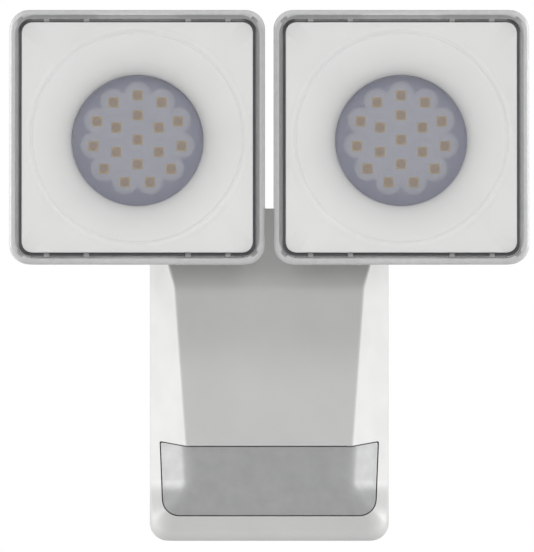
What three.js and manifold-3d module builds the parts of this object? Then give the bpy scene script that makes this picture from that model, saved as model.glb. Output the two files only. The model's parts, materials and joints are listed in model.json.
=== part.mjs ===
// A twin-head LED floodlight with a motion sensor, for an outside wall. Millimetres, +Z up.
// The wall is the plane Y = 0 and the light looks along -Y, so a point at depth d lies at Y = -d.
// The origin is the middle of the back plate's wall face.
import * as THREE from "three";
import { ConvexGeometry } from "three/addons/geometries/ConvexGeometry.js";
import { mergeVertices } from "three/addons/utils/BufferGeometryUtils.js";
import Module from "manifold-3d";

const wasm = await Module();
wasm.setup();

// ---------------------------------------------------------------- driving dimensions

const GAP = 0.3; // between pieces that touch
const RUNNING_GAP = 0.4; // round a pin or stem in its hole
const JOIN = 0.2; // how far two shapes of one solid run into each other, at least
const DEGREE = Math.PI / 180;

// Body: a wedge with slanted facets at its sides, which run out into round edges near the bottom.
const BODY_WIDTH = 96;
const BODY_HEIGHT = 133.5;
const BODY_SIDE_DEPTH = 32; // depth of the flat sides, where the facets start
const BODY_TOP_DEPTH = 33.4; // depth of the front at the very top
const BODY_KINK_DROP = 31.6; // how far below the top the front changes its slope
const BODY_KINK_DEPTH = 46.4;
const BODY_FRONT_LEAN = 5.9 * DEGREE; // the front comes forward by this angle below the kink
const FACET_ANGLE = 35 * DEGREE; // between a facet and the side
const FACET_RUNOUT = [20.5, 12]; // the facets turn into round edges between these heights above the bottom
const LIP_EDGE_RADIUS = 10.5; // of those round upright edges
const BODY_ROLL_RADIUS = 5; // where the front turns into the underside
const BODY_CORNER_RADIUS = 7.3; // of the bottom corners, seen from the front
const BODY_TOP_EDGE = 0.8;
const BODY_WALL = 2.4;
const HOUSING_BACK_DEPTH = 0.6; // the housing's rim stays this far off the wall

// Back plate, its rim and its seal.
const PLATE_THICKNESS = 3;
const PLATE_RIM_DEPTH = 7;
const PLATE_RIM_WALL = 2;
const GASKET_WIDTH = 1.3;
const GASKET_DEPTH = 2.5;
const WALL_HOLE_RADIUS = 2.6;
const WALL_HOLE_SPACING = 92;
const SCREW_BLOCK_HEIGHT = 16;
const SCREW_BLOCK_BORDER = 1; // round the screw's head
const HOUSING_SCREW_SPACING = 65.2; // of the two in the underside
const CABLE_HOLE_RADIUS = 4.6;
const CABLE_HOLE_Z = -27;
const GROMMET_WALL = 3;
const GROMMET_LIP = 1.6;
const GROMMET_LIP_TAPER = 0.6;
const GROMMET_LIP_DEPTH = 2;
const GROMMET_NOSE_DEPTH = 3;

// Sensor window, seen from the front. It wraps on to both facets.
const WINDOW_SIDE_MARGIN = 3.9; // from the body's side, at the window's top
const WINDOW_TAPER = 0.9; // each side is this much further in at the window's bottom
const WINDOW_HEIGHT = 28.3;
const WINDOW_TOP_RISE = 1.8; // the top edge slants up by this on the facets
const WINDOW_BOTTOM_MARGIN = 9.9; // from the body's bottom
const WINDOW_CORNER_RADIUS = 7;
const WINDOW_GROOVE = 0.5;
const WINDOW_THICKNESS = 1.6;
const WINDOW_INSET = 0.1; // the window's face lies this far below the housing's
const WINDOW_FLANGE_GAP = 0.4; // from the window's flange to the side walls

// What the body holds.
const BOARD_THICKNESS = 1.6;
const SENSOR_BOARD = { halfWidth: 19, halfHeight: 11, depth: 31, aboveWindowMiddle: 2 };
const SENSOR_HOLDER_WALL = 1.6;
const SENSOR_HOLDER_DEPTH = 7;
const PYRO_RADIUS = 4.6;
const PYRO_LENGTH = 4.2;
const PYRO_BRIM = { width: 0.7, thickness: 0.6 };
const PYRO_EYE = { halfWidth: 1.6, halfHeight: 1.3, depth: 0.4 };
const DRIVER_BOARD = { halfWidth: 34, halfHeight: 31, middleZ: 17, depth: 12 };
const DRIVER_POST_RADIUS = 3.4;
const DRIVER_POST_MARGIN = 1; // from the post to the board's edge
const TRANSFORMER = { x: -14, aboveMiddle: 1, width: 20, height: 22, depth: 12 };
const WINDING = { inset: 3, lift: 1, depth: 14 }; // round the transformer's core
const CAPACITOR = { x: 14, aboveMiddle: 4, radius: 6, length: 13 };
const TERMINAL = { halfWidth: 17, depth: 13, height: 11, belowGrommet: 1.2, pitch: 10.5 };
const TERMINAL_WIRE_HOLE_RADIUS = 2.2;
const TERMINAL_SCREW_HOLE = { radius: 2, height: 3.9, depth: 5.2 };
const SCREW_RADIUS = 1.9;
const SCREW_HEAD_RADIUS = 3.6;
const SCREW_HEAD_HEIGHT = 2;
const SCREW_SLOT = { width: 0.8, halfLength: 3, depth: 0.8 };
const PAN_HEAD_RADIUS = 3.2;
const PAN_HEAD_HEIGHT = 1.8;

// Three adjusting dials in the underside.
const DIAL_RADIUS = 5.5;
const DIAL_SPACING = 18;
const DIAL_AXIS_DEPTH = 24;
const DIAL_HEIGHT = 4;
const DIAL_SHAFT_RADIUS = 2;
const DIAL_SLOT = { width: 1.4, halfLength: 4.4, depth: 1.4 };
const CONTROL_BOARD_HEIGHT = 9; // of its underside above the body's bottom
const CONTROL_BOARD_BORDER = 1; // round the dials
const POT_RADIUS = 4;
const POT_HEIGHT = 3.2;

// Heads: two squares side by side, high in front of the body.
const HEAD_SIZE = 102;
const HEAD_GAP = 3.4;
const HEAD_CORNER_RADIUS = 7.8;
const HEAD_BELOW_BODY_TOP = 26; // the heads hang this far below the body's top when level
const HEAD_REST_TILT = 4.8 * DEGREE; // the heads look up by this angle at rest
const HEAD_FRONT_DEPTH = 108;
const HEAD_BACK_DEPTH = 78;
const HEAD_BACK_TAPER = 9; // each side is this much further in at the back
const HEAD_TAPER_DEPTH = 92; // the taper ends here
const HEAD_WALL = 3; // of the back
const HEAD_RIM = 6; // of the sides, which the seal sits on
const FIN_HEIGHT = 8;
const FIN_THICKNESS = 2;
const FIN_PITCH = 9.6;
const FIN_MARGIN = 6; // from the fins to the back's edge, and from the knuckle to the fins above it
const FIN_BOLT_MARGIN = 4; // from the hinge bolt's ends to the tall fins

// Clear cover, its seal and the white reflector behind it.
const COVER_THICKNESS = 2.5;
const COVER_SKIRT = 3.5;
const COVER_DRAFT = 0.7; // the skirt is this much narrower at its back on each side
const COVER_EDGE = 0.8;
const COVER_SKIRT_DEPTH = 98;
const COVER_GROOVE = 1.35;
const COVER_TAB_WIDTH = 2.2;
const COVER_TAB_PLACES = [20.3, 36.2];
const LATCH_HALF_WIDTH = 15.5;
const LATCH_RECESS = 3;
const SEAL_THICKNESS = 2;
const SEAL_INNER_RADIUS = 2; // of its inner corners
const FLANGE_CORNER_RADIUS = 5.2;
const FLANGE_THICKNESS = 1.6;
const DISH_RADIUS = 42.8;
const DISH_FLOOR_RADIUS = 26.6;
const DISH_FLOOR_RISE = 0.6; // of the dish's inner edge above the lens disc
const DISH_WALL = 1.6;

// Light engine.
const LED_BOARD_RADIUS = 32;
const LED_SEAT_RADIUS = 30;
const LED_SEAT_HEIGHT = 4.6;
const LED_SIZE = 3;
const LED_HEIGHT = 0.8;
const LED_INNER_RING = { count: 6, radius: 9.8 };
const LED_OUTER_RING = { count: 11, radius: 17.8 };
const LED_PATTERN_RISE = 0.6; // of the lights' middle above the disc's
const LENS_DISC_RADIUS = 26;
const LENS_DISC_THICKNESS = 1.6;
const LENS_PETAL_RADIUS = 5.3;
const LENS_PETAL_HEIGHT = 1.6;
const BOARD_SCREW_RING = 28.6;
const BOARD_SCREW_RADIUS = 1.5;
const BOARD_SCREW_HEAD = { radius: 2.3, height: 1.2 };

// Swivel arms: a hub on the body's top, a bent neck and a knuckle between the head's ears.
const SWIVEL_X = 30;
const SWIVEL_CLEARANCE = 0.6; // from the swivel's nut to the back plate's rim
const HUB_RADIUS = 13;
const HUB_HEIGHT = 5.8;
const STEM_RADIUS = 6.5;
const STEM_BORE = 3.5;
const STEM_LENGTH = 11;
const SWIVEL_NUT_RADIUS = 9.4;
const SWIVEL_NUT_HEIGHT = 5;
const WASHER_THICKNESS = 1;
const O_RING_RADIUS = 10;
const O_RING_SECTION = 1.8;
const ARM_RADIUS = 7;
const ARM_ROOT = 2.8; // the neck starts this far below the hub's top
const KNUCKLE_RADIUS = 9;
const KNUCKLE_HALF_WIDTH = 8.9;
const KNUCKLE_SLOT = 5;
const TILT_DEPTH = 66;
const TILT_ABOVE_BODY_TOP = 11.1;
const EAR_THICKNESS = 4;
const EAR_RADIUS = 10;
const BOLT_RADIUS = 3;
const BOLT_HEAD_RADIUS = 5.6;
const BOLT_HEAD_THICKNESS = 4;
const GLAND_BORE = 2.2;
const GLAND_RADIUS = 4;
const GLAND_FLANGE = { width: 1.6, thickness: 1.1 }; // behind the head's back
const GLAND_BARB = { width: 1.2, taper: 0.6, length: 1.2 }; // inside the head

// ---------------------------------------------------------------- sizes that follow from them

const bodyTop = BODY_HEIGHT / 2;
const bodyBottom = -BODY_HEIGHT / 2;
const headX = (HEAD_SIZE + HEAD_GAP) / 2;
const headZ = bodyTop - HEAD_BELOW_BODY_TOP + HEAD_SIZE / 2;
const swivelDepth = PLATE_RIM_DEPTH + SWIVEL_NUT_RADIUS + SWIVEL_CLEARANCE;
const tiltZ = bodyTop + TILT_ABOVE_BODY_TOP;
const paneBackDepth = HEAD_FRONT_DEPTH - COVER_THICKNESS;
const flangeHalf = HEAD_SIZE / 2 - COVER_SKIRT - COVER_GROOVE;
const ledBoardDepth = HEAD_BACK_DEPTH + HEAD_WALL + LED_SEAT_HEIGHT + GAP;
const lensBackDepth = ledBoardDepth + BOARD_THICKNESS + LED_HEIGHT + GAP;
const dishFloorDepth = lensBackDepth + LENS_DISC_THICKNESS + DISH_FLOOR_RISE;
const windowBottom = bodyBottom + WINDOW_BOTTOM_MARGIN;
const windowTop = windowBottom + WINDOW_HEIGHT;
const windowFlange = WINDOW_SIDE_MARGIN - BODY_WALL - WINDOW_FLANGE_GAP;

// ---------------------------------------------------------------- materials

const finish = (color, roughness, metalness = 0, more = {}) =>
  new THREE.MeshStandardMaterial({ color, roughness, metalness, ...more });
const clear = { transparent: true, opacity: 0.35 };
const materials = {
  whiteShell: finish("#ebebea", 0.45),
  whiteCasting: finish("#e4e4e3", 0.5, 0.1),
  darkInside: finish("#5a5c5e", 0.7),
  windowFilm: finish("#c9cacb", 0.35, 0, { transparent: true, opacity: 0.8 }),
  clearCover: finish("#f2f4f5", 0.05, 0, clear),
  clearLens: finish("#dfe2ea", 0.1, 0, clear),
  reflectorWhite: finish("#f1f1f0", 0.6),
  greyRubber: finish("#6f7072", 0.85),
  blackRubber: finish("#2b2c2d", 0.85),
  steel: finish("#b9bbbd", 0.35, 0.9),
  ledBoard: finish("#8b8d9b", 0.5, 0.2),
  greenBoard: finish("#2f6b45", 0.6),
  component: finish("#3b3b3d", 0.6),
  dialGrey: finish("#8d8f91", 0.5),
};

// ---------------------------------------------------------------- solids

// A closed three.js geometry as a solid that can be cut and joined.
function solid(geometry) {
  const bare = new THREE.BufferGeometry().setAttribute("position", geometry.getAttribute("position"));
  if (geometry.index) bare.setIndex(geometry.index);
  const merged = mergeVertices(bare, 1e-4);
  const index = merged.index.array;
  const kept = [];
  for (let i = 0; i < index.length; i += 3) {
    const [a, b, c] = [index[i], index[i + 1], index[i + 2]];
    if (a !== b && b !== c && c !== a) kept.push(a, b, c);
  }
  const triVerts = new Uint32Array(kept);
  const vertProperties = merged.attributes.position.array;
  return new wasm.Manifold(new wasm.Mesh({ numProp: 3, vertProperties, triVerts }));
}

const joined = (...solids) => solids.reduce((all, next) => all.add(next));

// A flat outline in X and Z, as thick as from one depth to another.
function slab(shape, fromDepth, toDepth, curveSegments = 4) {
  const settings = { depth: toDepth - fromDepth, bevelEnabled: false, curveSegments };
  return solid(new THREE.ExtrudeGeometry(shape, settings).rotateX(Math.PI / 2).translate(0, -fromDepth, 0));
}

function block(x, depth, z) {
  const size = [x[1] - x[0], depth[1] - depth[0], z[1] - z[0]];
  const middle = [(x[0] + x[1]) / 2, -(depth[0] + depth[1]) / 2, (z[0] + z[1]) / 2];
  return solid(new THREE.BoxGeometry(...size).translate(...middle));
}

// Cylinders and cones along the depth, upright and across. A second radius is the one at the far end.
function peg(radius, x, z, fromDepth, toDepth, sides = 24, farRadius = radius) {
  const shape = new THREE.CylinderGeometry(radius, farRadius, toDepth - fromDepth, sides);
  return solid(shape.translate(x, -(fromDepth + toDepth) / 2, z));
}

function upright(radius, x, depth, fromZ, toZ, sides = 24, topRadius = radius) {
  const shape = new THREE.CylinderGeometry(topRadius, radius, toZ - fromZ, sides).rotateX(Math.PI / 2);
  return solid(shape.translate(x, -depth, (fromZ + toZ) / 2));
}

function crossbar(radius, fromX, toX, depth, z, sides = 24) {
  const shape = new THREE.CylinderGeometry(radius, radius, toX - fromX, sides).rotateZ(Math.PI / 2);
  return solid(shape.translate((fromX + toX) / 2, -depth, z));
}

// A closed profile of [radius, height] turned about the Y axis, always facing outwards.
function turned(profile, sides) {
  const points = profile.map(([radius, height]) => new THREE.Vector2(radius, height));
  if (THREE.ShapeUtils.area(points) < 0) points.reverse();
  return new THREE.LatheGeometry([...points, points[0]], sides);
}

// A profile of [radius, depth] turned about a head's optical axis.
function turnedOnHead(profile, x, sides) {
  return solid(turned(profile.map(([radius, depth]) => [radius, -depth]), sides).translate(x, 0, headZ));
}

function ringUpright(inner, outer, x, depth, fromZ, toZ, sides = 24) {
  const profile = [[inner, fromZ], [outer, fromZ], [outer, toZ], [inner, toZ]];
  return solid(turned(profile, sides).rotateX(Math.PI / 2).translate(x, -depth, 0));
}

function roundedSquare(half, radius, x = 0, z = 0) {
  const shape = new THREE.Shape();
  const corner = half - radius;
  shape.absarc(x + corner, z - corner, radius, -90 * DEGREE, 0);
  shape.absarc(x + corner, z + corner, radius, 0, 90 * DEGREE);
  shape.absarc(x - corner, z + corner, radius, 90 * DEGREE, 180 * DEGREE);
  shape.absarc(x - corner, z - corner, radius, 180 * DEGREE, 270 * DEGREE);
  shape.closePath();
  return shape;
}

// ---------------------------------------------------------------- the assembly

const floodlight = new THREE.Group();
floodlight.name = "twin_floodlight";

// Every piece is drawn where it is with its head level. A head's group turns it about the tilt axis.
function place(name, made, material, group = floodlight) {
  const { vertProperties, triVerts } = made.getMesh();
  const geometry = new THREE.BufferGeometry();
  geometry.setAttribute("position", new THREE.BufferAttribute(new Float32Array(vertProperties), 3));
  geometry.setIndex(new THREE.BufferAttribute(new Uint32Array(triVerts), 1));
  const flat = geometry.toNonIndexed().translate(...group.position.clone().negate());
  flat.computeVertexNormals();
  const mesh = new THREE.Mesh(flat, material);
  mesh.name = name;
  group.add(mesh);
}

function headGroup(side) {
  const group = new THREE.Group();
  group.position.set(side * headX, -TILT_DEPTH, tiltZ);
  group.rotation.x = -HEAD_REST_TILT;
  floodlight.add(group);
  return group;
}

// ---------------------------------------------------------------- body shell

const runoutTop = bodyBottom + FACET_RUNOUT[0];
const runoutBottom = bodyBottom + FACET_RUNOUT[1];

// Depth of the front face, before the bottom edge turns in: two slopes, then upright from the run-out down.
const frontDepthAt = (z) => {
  const drop = bodyTop - Math.max(z, runoutTop);
  if (drop < BODY_KINK_DROP) {
    return BODY_TOP_DEPTH + ((BODY_KINK_DEPTH - BODY_TOP_DEPTH) * drop) / BODY_KINK_DROP;
  }
  return BODY_KINK_DEPTH + Math.tan(BODY_FRONT_LEAN) * (drop - BODY_KINK_DROP);
};

// How far a quarter round of this radius, ending at the bottom, has turned in at height z.
const turnedIn = (z, fullRadius, inset) => {
  const radius = Math.max(fullRadius - inset, 0.5);
  const below = Math.min(Math.max(bodyBottom + inset + radius - z, 0), radius);
  return radius - Math.sqrt(radius * radius - below * below);
};

// The body's outline at height z, every face moved in by inset: from the left side round to the right one.
// Each front corner is a straight facet at the top and a quarter ellipse at the bottom, blended between.
function bodyOutlineAt(z, inset, backDepth, trim = 0) {
  const half = BODY_WIDTH / 2 - inset - turnedIn(z, BODY_CORNER_RADIUS, inset) - trim;
  const moved = inset + turnedIn(z, BODY_ROLL_RADIUS, inset) + trim;
  const front = frontDepthAt(z) - moved;
  const facetShift = moved / Math.sin(FACET_ANGLE);
  const facetWidth = (front - BODY_SIDE_DEPTH + facetShift) * Math.tan(FACET_ANGLE);
  const facetStart = [half, BODY_SIDE_DEPTH + (BODY_WIDTH / 2 - half) / Math.tan(FACET_ANGLE) - facetShift];
  const facetEnd = [BODY_WIDTH / 2 - facetWidth, front];
  const centre = [BODY_WIDTH / 2 - LIP_EDGE_RADIUS, frontDepthAt(z) - LIP_EDGE_RADIUS];
  const roundness = THREE.MathUtils.smoothstep(runoutTop - z, 0, runoutTop - runoutBottom);
  const corner = [0, 1 / 3, 2 / 3, 1].map((t) => {
    const angle = (t * Math.PI) / 2;
    const facet = facetStart.map((start, i) => start + (facetEnd[i] - start) * t);
    const round = [
      centre[0] + (half - centre[0]) * Math.cos(angle),
      centre[1] + (front - centre[1]) * Math.sin(angle),
    ];
    return facet.map((value, i) => value + (round[i] - value) * roundness);
  });
  const right = [[half, backDepth], ...corner];
  return [...right.map(([x, depth]) => [-x, depth]), ...right.reverse()].map(
    ([x, depth]) => new THREE.Vector3(x, -depth, z),
  );
}

// Outlines with the same number of points, joined from the top one down and closed at both ends.
function loft(outlines) {
  const count = outlines[0].length;
  const index = [];
  outlines.slice(1).forEach((_, level) => {
    for (let i = 0; i < count; i += 1) {
      const [a, b] = [level * count + i, level * count + ((i + 1) % count)];
      index.push(a, a + count, b, b, a + count, b + count);
    }
  });
  const last = (outlines.length - 1) * count;
  for (let i = 1; i < count - 1; i += 1) {
    index.push(0, i, i + 1, last, last + i + 1, last + i);
  }
  const geometry = new THREE.BufferGeometry().setFromPoints(outlines.flat());
  return solid(geometry.setIndex(index));
}

function bodySolid(inset, backDepth) {
  const top = bodyTop - inset;
  const quarter = [22.5, 45, 67.5, 90].map((angle) => Math.sin(angle * DEGREE));
  const rolls = [BODY_ROLL_RADIUS, BODY_CORNER_RADIUS].flatMap((full) => {
    const radius = Math.max(full - inset, 0.5);
    return quarter.map((share) => bodyBottom + inset + radius * (1 - share));
  });
  const runout = [0, 0.35, 0.7, 1].map((t) => runoutTop + (runoutBottom - runoutTop) * t);
  const heights = [top - BODY_TOP_EDGE, bodyTop - BODY_KINK_DROP, ...runout, ...rolls]
    .sort((a, b) => b - a)
    .filter((z, i, all) => i === 0 || all[i - 1] - z > 0.05);
  return loft([
    bodyOutlineAt(top, inset, backDepth, BODY_TOP_EDGE),
    ...heights.map((z) => bodyOutlineAt(z, inset, backDepth)),
  ]);
}

const bodyShell = (outerInset, innerInset) =>
  bodySolid(outerInset, HOUSING_BACK_DEPTH).subtract(bodySolid(innerInset, -HOUSING_BACK_DEPTH));

// The body seen from behind, moved in by inset: a fine edge at the top and round bottom corners.
function backOutline(inset) {
  const radius = BODY_CORNER_RADIUS - inset;
  const half = BODY_WIDTH / 2 - inset;
  const low = bodyBottom + inset;
  const high = bodyTop - inset;
  const shape = new THREE.Shape();
  shape.moveTo(half, high - BODY_TOP_EDGE);
  shape.lineTo(half - BODY_TOP_EDGE, high);
  shape.lineTo(-half + BODY_TOP_EDGE, high);
  shape.lineTo(-half, high - BODY_TOP_EDGE);
  shape.absarc(-half + radius, low + radius, radius, 180 * DEGREE, 270 * DEGREE);
  shape.absarc(half - radius, low + radius, radius, -90 * DEGREE, 0);
  shape.closePath();
  return shape;
}

// The window seen from the front: its top edge is level on the front face and slants up on the facets.
function windowOutline(grow) {
  const radius = WINDOW_CORNER_RADIUS + grow;
  const outer = BODY_WIDTH / 2 - WINDOW_SIDE_MARGIN + grow;
  const low = outer - WINDOW_TAPER;
  const bottom = windowBottom - grow;
  const top = windowTop + grow;
  const facetWidth = (frontDepthAt(windowTop) - BODY_SIDE_DEPTH) * Math.tan(FACET_ANGLE);
  const flat = BODY_WIDTH / 2 - facetWidth;
  const shape = new THREE.Shape();
  shape.moveTo(flat, top);
  shape.lineTo(-flat, top);
  shape.lineTo(-outer, top + WINDOW_TOP_RISE);
  shape.absarc(-low + radius, bottom + radius, radius, 180 * DEGREE, 270 * DEGREE);
  shape.absarc(low - radius, bottom + radius, radius, -90 * DEGREE, 0);
  shape.lineTo(outer, top + WINDOW_TOP_RISE);
  shape.closePath();
  return shape;
}

const windowReach = [BODY_SIDE_DEPTH / 2, BODY_KINK_DEPTH * 2]; // depths that take in the whole window
const windowColumn = (grow) => slab(windowOutline(grow), ...windowReach);

const housingScrewX = HOUSING_SCREW_SPACING / 2;
const housingScrewDepth = PLATE_RIM_DEPTH + SCREW_HEAD_RADIUS;
const dials = ["time", "lux", "range"].map((name, i) => ({ name, x: (i - 1) * DIAL_SPACING }));

function makeFrontHousing() {
  let shell = bodyShell(0, BODY_WALL).subtract(windowColumn(0));
  for (const side of [-1, 1]) {
    const hole = STEM_RADIUS + RUNNING_GAP;
    shell = shell.subtract(
      upright(hole, side * SWIVEL_X, swivelDepth, bodyTop - 2 * BODY_WALL, bodyTop + BODY_WALL),
    );
    shell = shell.subtract(
      upright(
        SCREW_HEAD_RADIUS + 2 * GAP,
        side * housingScrewX,
        housingScrewDepth,
        bodyBottom - GAP,
        bodyBottom + BODY_WALL + GAP,
        24,
        SCREW_RADIUS + GAP,
      ),
    );
  }
  for (const dial of dials) {
    shell = shell.subtract(
      upright(DIAL_RADIUS + RUNNING_GAP, dial.x, DIAL_AXIS_DEPTH, bodyBottom - 1, bodyBottom + 2 * BODY_WALL),
    );
  }
  place("front_housing", shell, materials.whiteShell);
}

// The window lies flush in its opening and is held by a flange behind the housing's wall.
function makeWindow() {
  const skirtInset = WINDOW_GROOVE + WINDOW_THICKNESS;
  const flangeInset = BODY_WALL + GAP;
  const backInset = flangeInset + WINDOW_THICKNESS;
  const face = bodyShell(WINDOW_INSET, WINDOW_INSET + WINDOW_THICKNESS);
  const pane = face.intersect(windowColumn(-WINDOW_GROOVE));
  const border = windowColumn(-WINDOW_GROOVE).subtract(windowColumn(-skirtInset));
  const skirt = bodyShell(2 * WINDOW_INSET, backInset).intersect(border);
  const rim = windowColumn(windowFlange).subtract(windowColumn(-skirtInset));
  const flange = bodyShell(flangeInset, backInset).intersect(rim);
  place("pir_window", joined(pane, skirt, flange), materials.windowFilm);
}

// ---------------------------------------------------------------- back plate and what it carries

const driverPosts = [-1, 1].map((side) => ({
  x: side * (DRIVER_BOARD.halfWidth - DRIVER_POST_RADIUS - DRIVER_POST_MARGIN),
  z: DRIVER_BOARD.middleZ + side * (DRIVER_BOARD.halfHeight - DRIVER_POST_RADIUS - DRIVER_POST_MARGIN),
}));

function makeBackPlate() {
  const rimInset = BODY_WALL + GAP + GASKET_WIDTH + GAP;
  const edge = slab(backOutline(BODY_WALL + GAP), 0, PLATE_THICKNESS);
  const rim = slab(backOutline(rimInset), PLATE_THICKNESS - 1, PLATE_RIM_DEPTH).subtract(
    slab(backOutline(rimInset + PLATE_RIM_WALL), 0, PLATE_RIM_DEPTH + 1),
  );
  let plate = joined(edge, rim);
  const blockTop = bodyBottom + SCREW_BLOCK_HEIGHT;
  for (const side of [-1, 1]) {
    const x = side * housingScrewX;
    const halfBlock = SCREW_HEAD_RADIUS + SCREW_BLOCK_BORDER;
    const blockDepth = [PLATE_THICKNESS - 1, housingScrewDepth + halfBlock];
    const blockZ = [bodyBottom + rimInset, blockTop];
    plate = plate.add(block([x - halfBlock, x + halfBlock], blockDepth, blockZ));
    plate = plate.subtract(upright(SCREW_RADIUS + GAP, x, housingScrewDepth, bodyBottom, blockTop + 1, 16));
    const wallHole = peg(WALL_HOLE_RADIUS, 0, (side * WALL_HOLE_SPACING) / 2, -1, PLATE_THICKNESS + 1, 20);
    plate = plate.subtract(wallHole);
  }
  for (const post of driverPosts) {
    const postDepth = [PLATE_THICKNESS - 1, DRIVER_BOARD.depth - GAP];
    plate = plate.add(peg(DRIVER_POST_RADIUS, post.x, post.z, ...postDepth, 16));
    plate = plate.subtract(
      peg(SCREW_RADIUS + GAP, post.x, post.z, PLATE_THICKNESS + 1, DRIVER_BOARD.depth + 1, 12),
    );
  }
  const grommetHole = CABLE_HOLE_RADIUS + GROMMET_WALL + GAP;
  plate = plate.subtract(peg(grommetHole, 0, CABLE_HOLE_Z, -1, PLATE_THICKNESS + 1, 24));
  place("back_plate", plate, materials.whiteShell);
}

function makeHousingGasket() {
  const inset = BODY_WALL + GAP;
  const fromDepth = PLATE_THICKNESS + GAP;
  const ring = slab(backOutline(inset), fromDepth, fromDepth + GASKET_DEPTH).subtract(
    slab(backOutline(inset + GASKET_WIDTH), 0, PLATE_RIM_DEPTH),
  );
  place("housing_gasket", ring, materials.greyRubber);
}

function makeCableGrommet() {
  const neck = CABLE_HOLE_RADIUS + GROMMET_WALL;
  const front = PLATE_THICKNESS + GAP;
  const profile = [
    [CABLE_HOLE_RADIUS, GAP / 2], [neck, GAP / 2], [neck, front], [neck + GROMMET_LIP, front],
    [neck + GROMMET_LIP - GROMMET_LIP_TAPER, front + GROMMET_LIP_DEPTH],
    [CABLE_HOLE_RADIUS, front + GROMMET_NOSE_DEPTH],
  ];
  const made = turned(profile.map(([radius, depth]) => [radius, -depth]), 24).translate(0, 0, CABLE_HOLE_Z);
  place("cable_grommet", solid(made), materials.blackRubber);
}

// Countersunk screws in the underside: a slotted cone head and a plain shank.
function makeHousingScrews() {
  for (const [side, word] of [[-1, "left"], [1, "right"]]) {
    const x = side * housingScrewX;
    const low = bodyBottom + GAP / 2;
    const tip = bodyBottom + SCREW_BLOCK_HEIGHT - 2;
    const headZs = [low, low + SCREW_HEAD_HEIGHT];
    const head = upright(SCREW_HEAD_RADIUS, x, housingScrewDepth, ...headZs, 20, SCREW_RADIUS);
    const shank = upright(SCREW_RADIUS, x, housingScrewDepth, low + 1, tip, 12);
    const slot = block(
      [x - SCREW_SLOT.halfLength, x + SCREW_SLOT.halfLength],
      [housingScrewDepth - SCREW_SLOT.width / 2, housingScrewDepth + SCREW_SLOT.width / 2],
      [low - 1, low + SCREW_SLOT.depth],
    );
    place(`housing_screw_${word}`, joined(head, shank).subtract(slot), materials.steel);
  }
}

function makeDriver() {
  const { halfWidth, halfHeight, middleZ, depth } = DRIVER_BOARD;
  const front = depth + BOARD_THICKNESS;
  let board = block([-halfWidth, halfWidth], [depth, front], [middleZ - halfHeight, middleZ + halfHeight]);
  for (const post of driverPosts) {
    board = board.subtract(peg(SCREW_RADIUS + GAP, post.x, post.z, depth - 1, front + 1, 12));
  }
  place("driver_board", board, materials.greenBoard);
  driverPosts.forEach((post, i) => {
    const seat = front + GAP;
    const head = peg(PAN_HEAD_RADIUS, post.x, post.z, seat, seat + PAN_HEAD_HEIGHT, 16);
    const shank = peg(SCREW_RADIUS, post.x, post.z, PLATE_THICKNESS + 2, seat + 1, 12);
    place(`driver_screw_${i + 1}`, joined(head, shank), materials.steel);
  });
  const seat = front + GAP;
  const boxAt = (width, height, depths) => {
    const { x: middleX, aboveMiddle: rise } = TRANSFORMER;
    const z = middleZ + rise;
    return block([middleX - width / 2, middleX + width / 2], depths, [z - height / 2, z + height / 2]);
  };
  const { width, height } = TRANSFORMER;
  const core = boxAt(width, height, [seat, seat + TRANSFORMER.depth]);
  const winding = boxAt(
    width - 2 * WINDING.inset, height - 2 * WINDING.inset, [seat + WINDING.lift, seat + WINDING.depth],
  );
  place("driver_transformer", joined(core, winding), materials.component);
  const { x, aboveMiddle, radius, length } = CAPACITOR;
  const can = peg(radius, x, middleZ + aboveMiddle, seat, seat + length, 24);
  place("driver_capacitor", can, materials.component);
}

function makeTerminalBlock() {
  const { halfWidth, depth, height, belowGrommet, pitch } = TERMINAL;
  const z = CABLE_HOLE_Z - CABLE_HOLE_RADIUS - GROMMET_WALL - GROMMET_LIP - belowGrommet - height;
  const seat = PLATE_THICKNESS + GAP;
  let made = block([-halfWidth, halfWidth], [seat, seat + depth], [z, z + height]);
  const front = seat + depth;
  for (const x of [-pitch, 0, pitch]) {
    const wireDepth = seat + depth / 2;
    const wireZ = [z + height / 2, z + height + 1];
    made = made.subtract(upright(TERMINAL_WIRE_HOLE_RADIUS, x, wireDepth, ...wireZ, 10));
    const hole = TERMINAL_SCREW_HOLE;
    made = made.subtract(peg(hole.radius, x, z + hole.height, front - hole.depth, front + 1, 10));
  }
  place("terminal_block", made, materials.reflectorWhite);
}

// ---------------------------------------------------------------- sensor and dials

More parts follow.
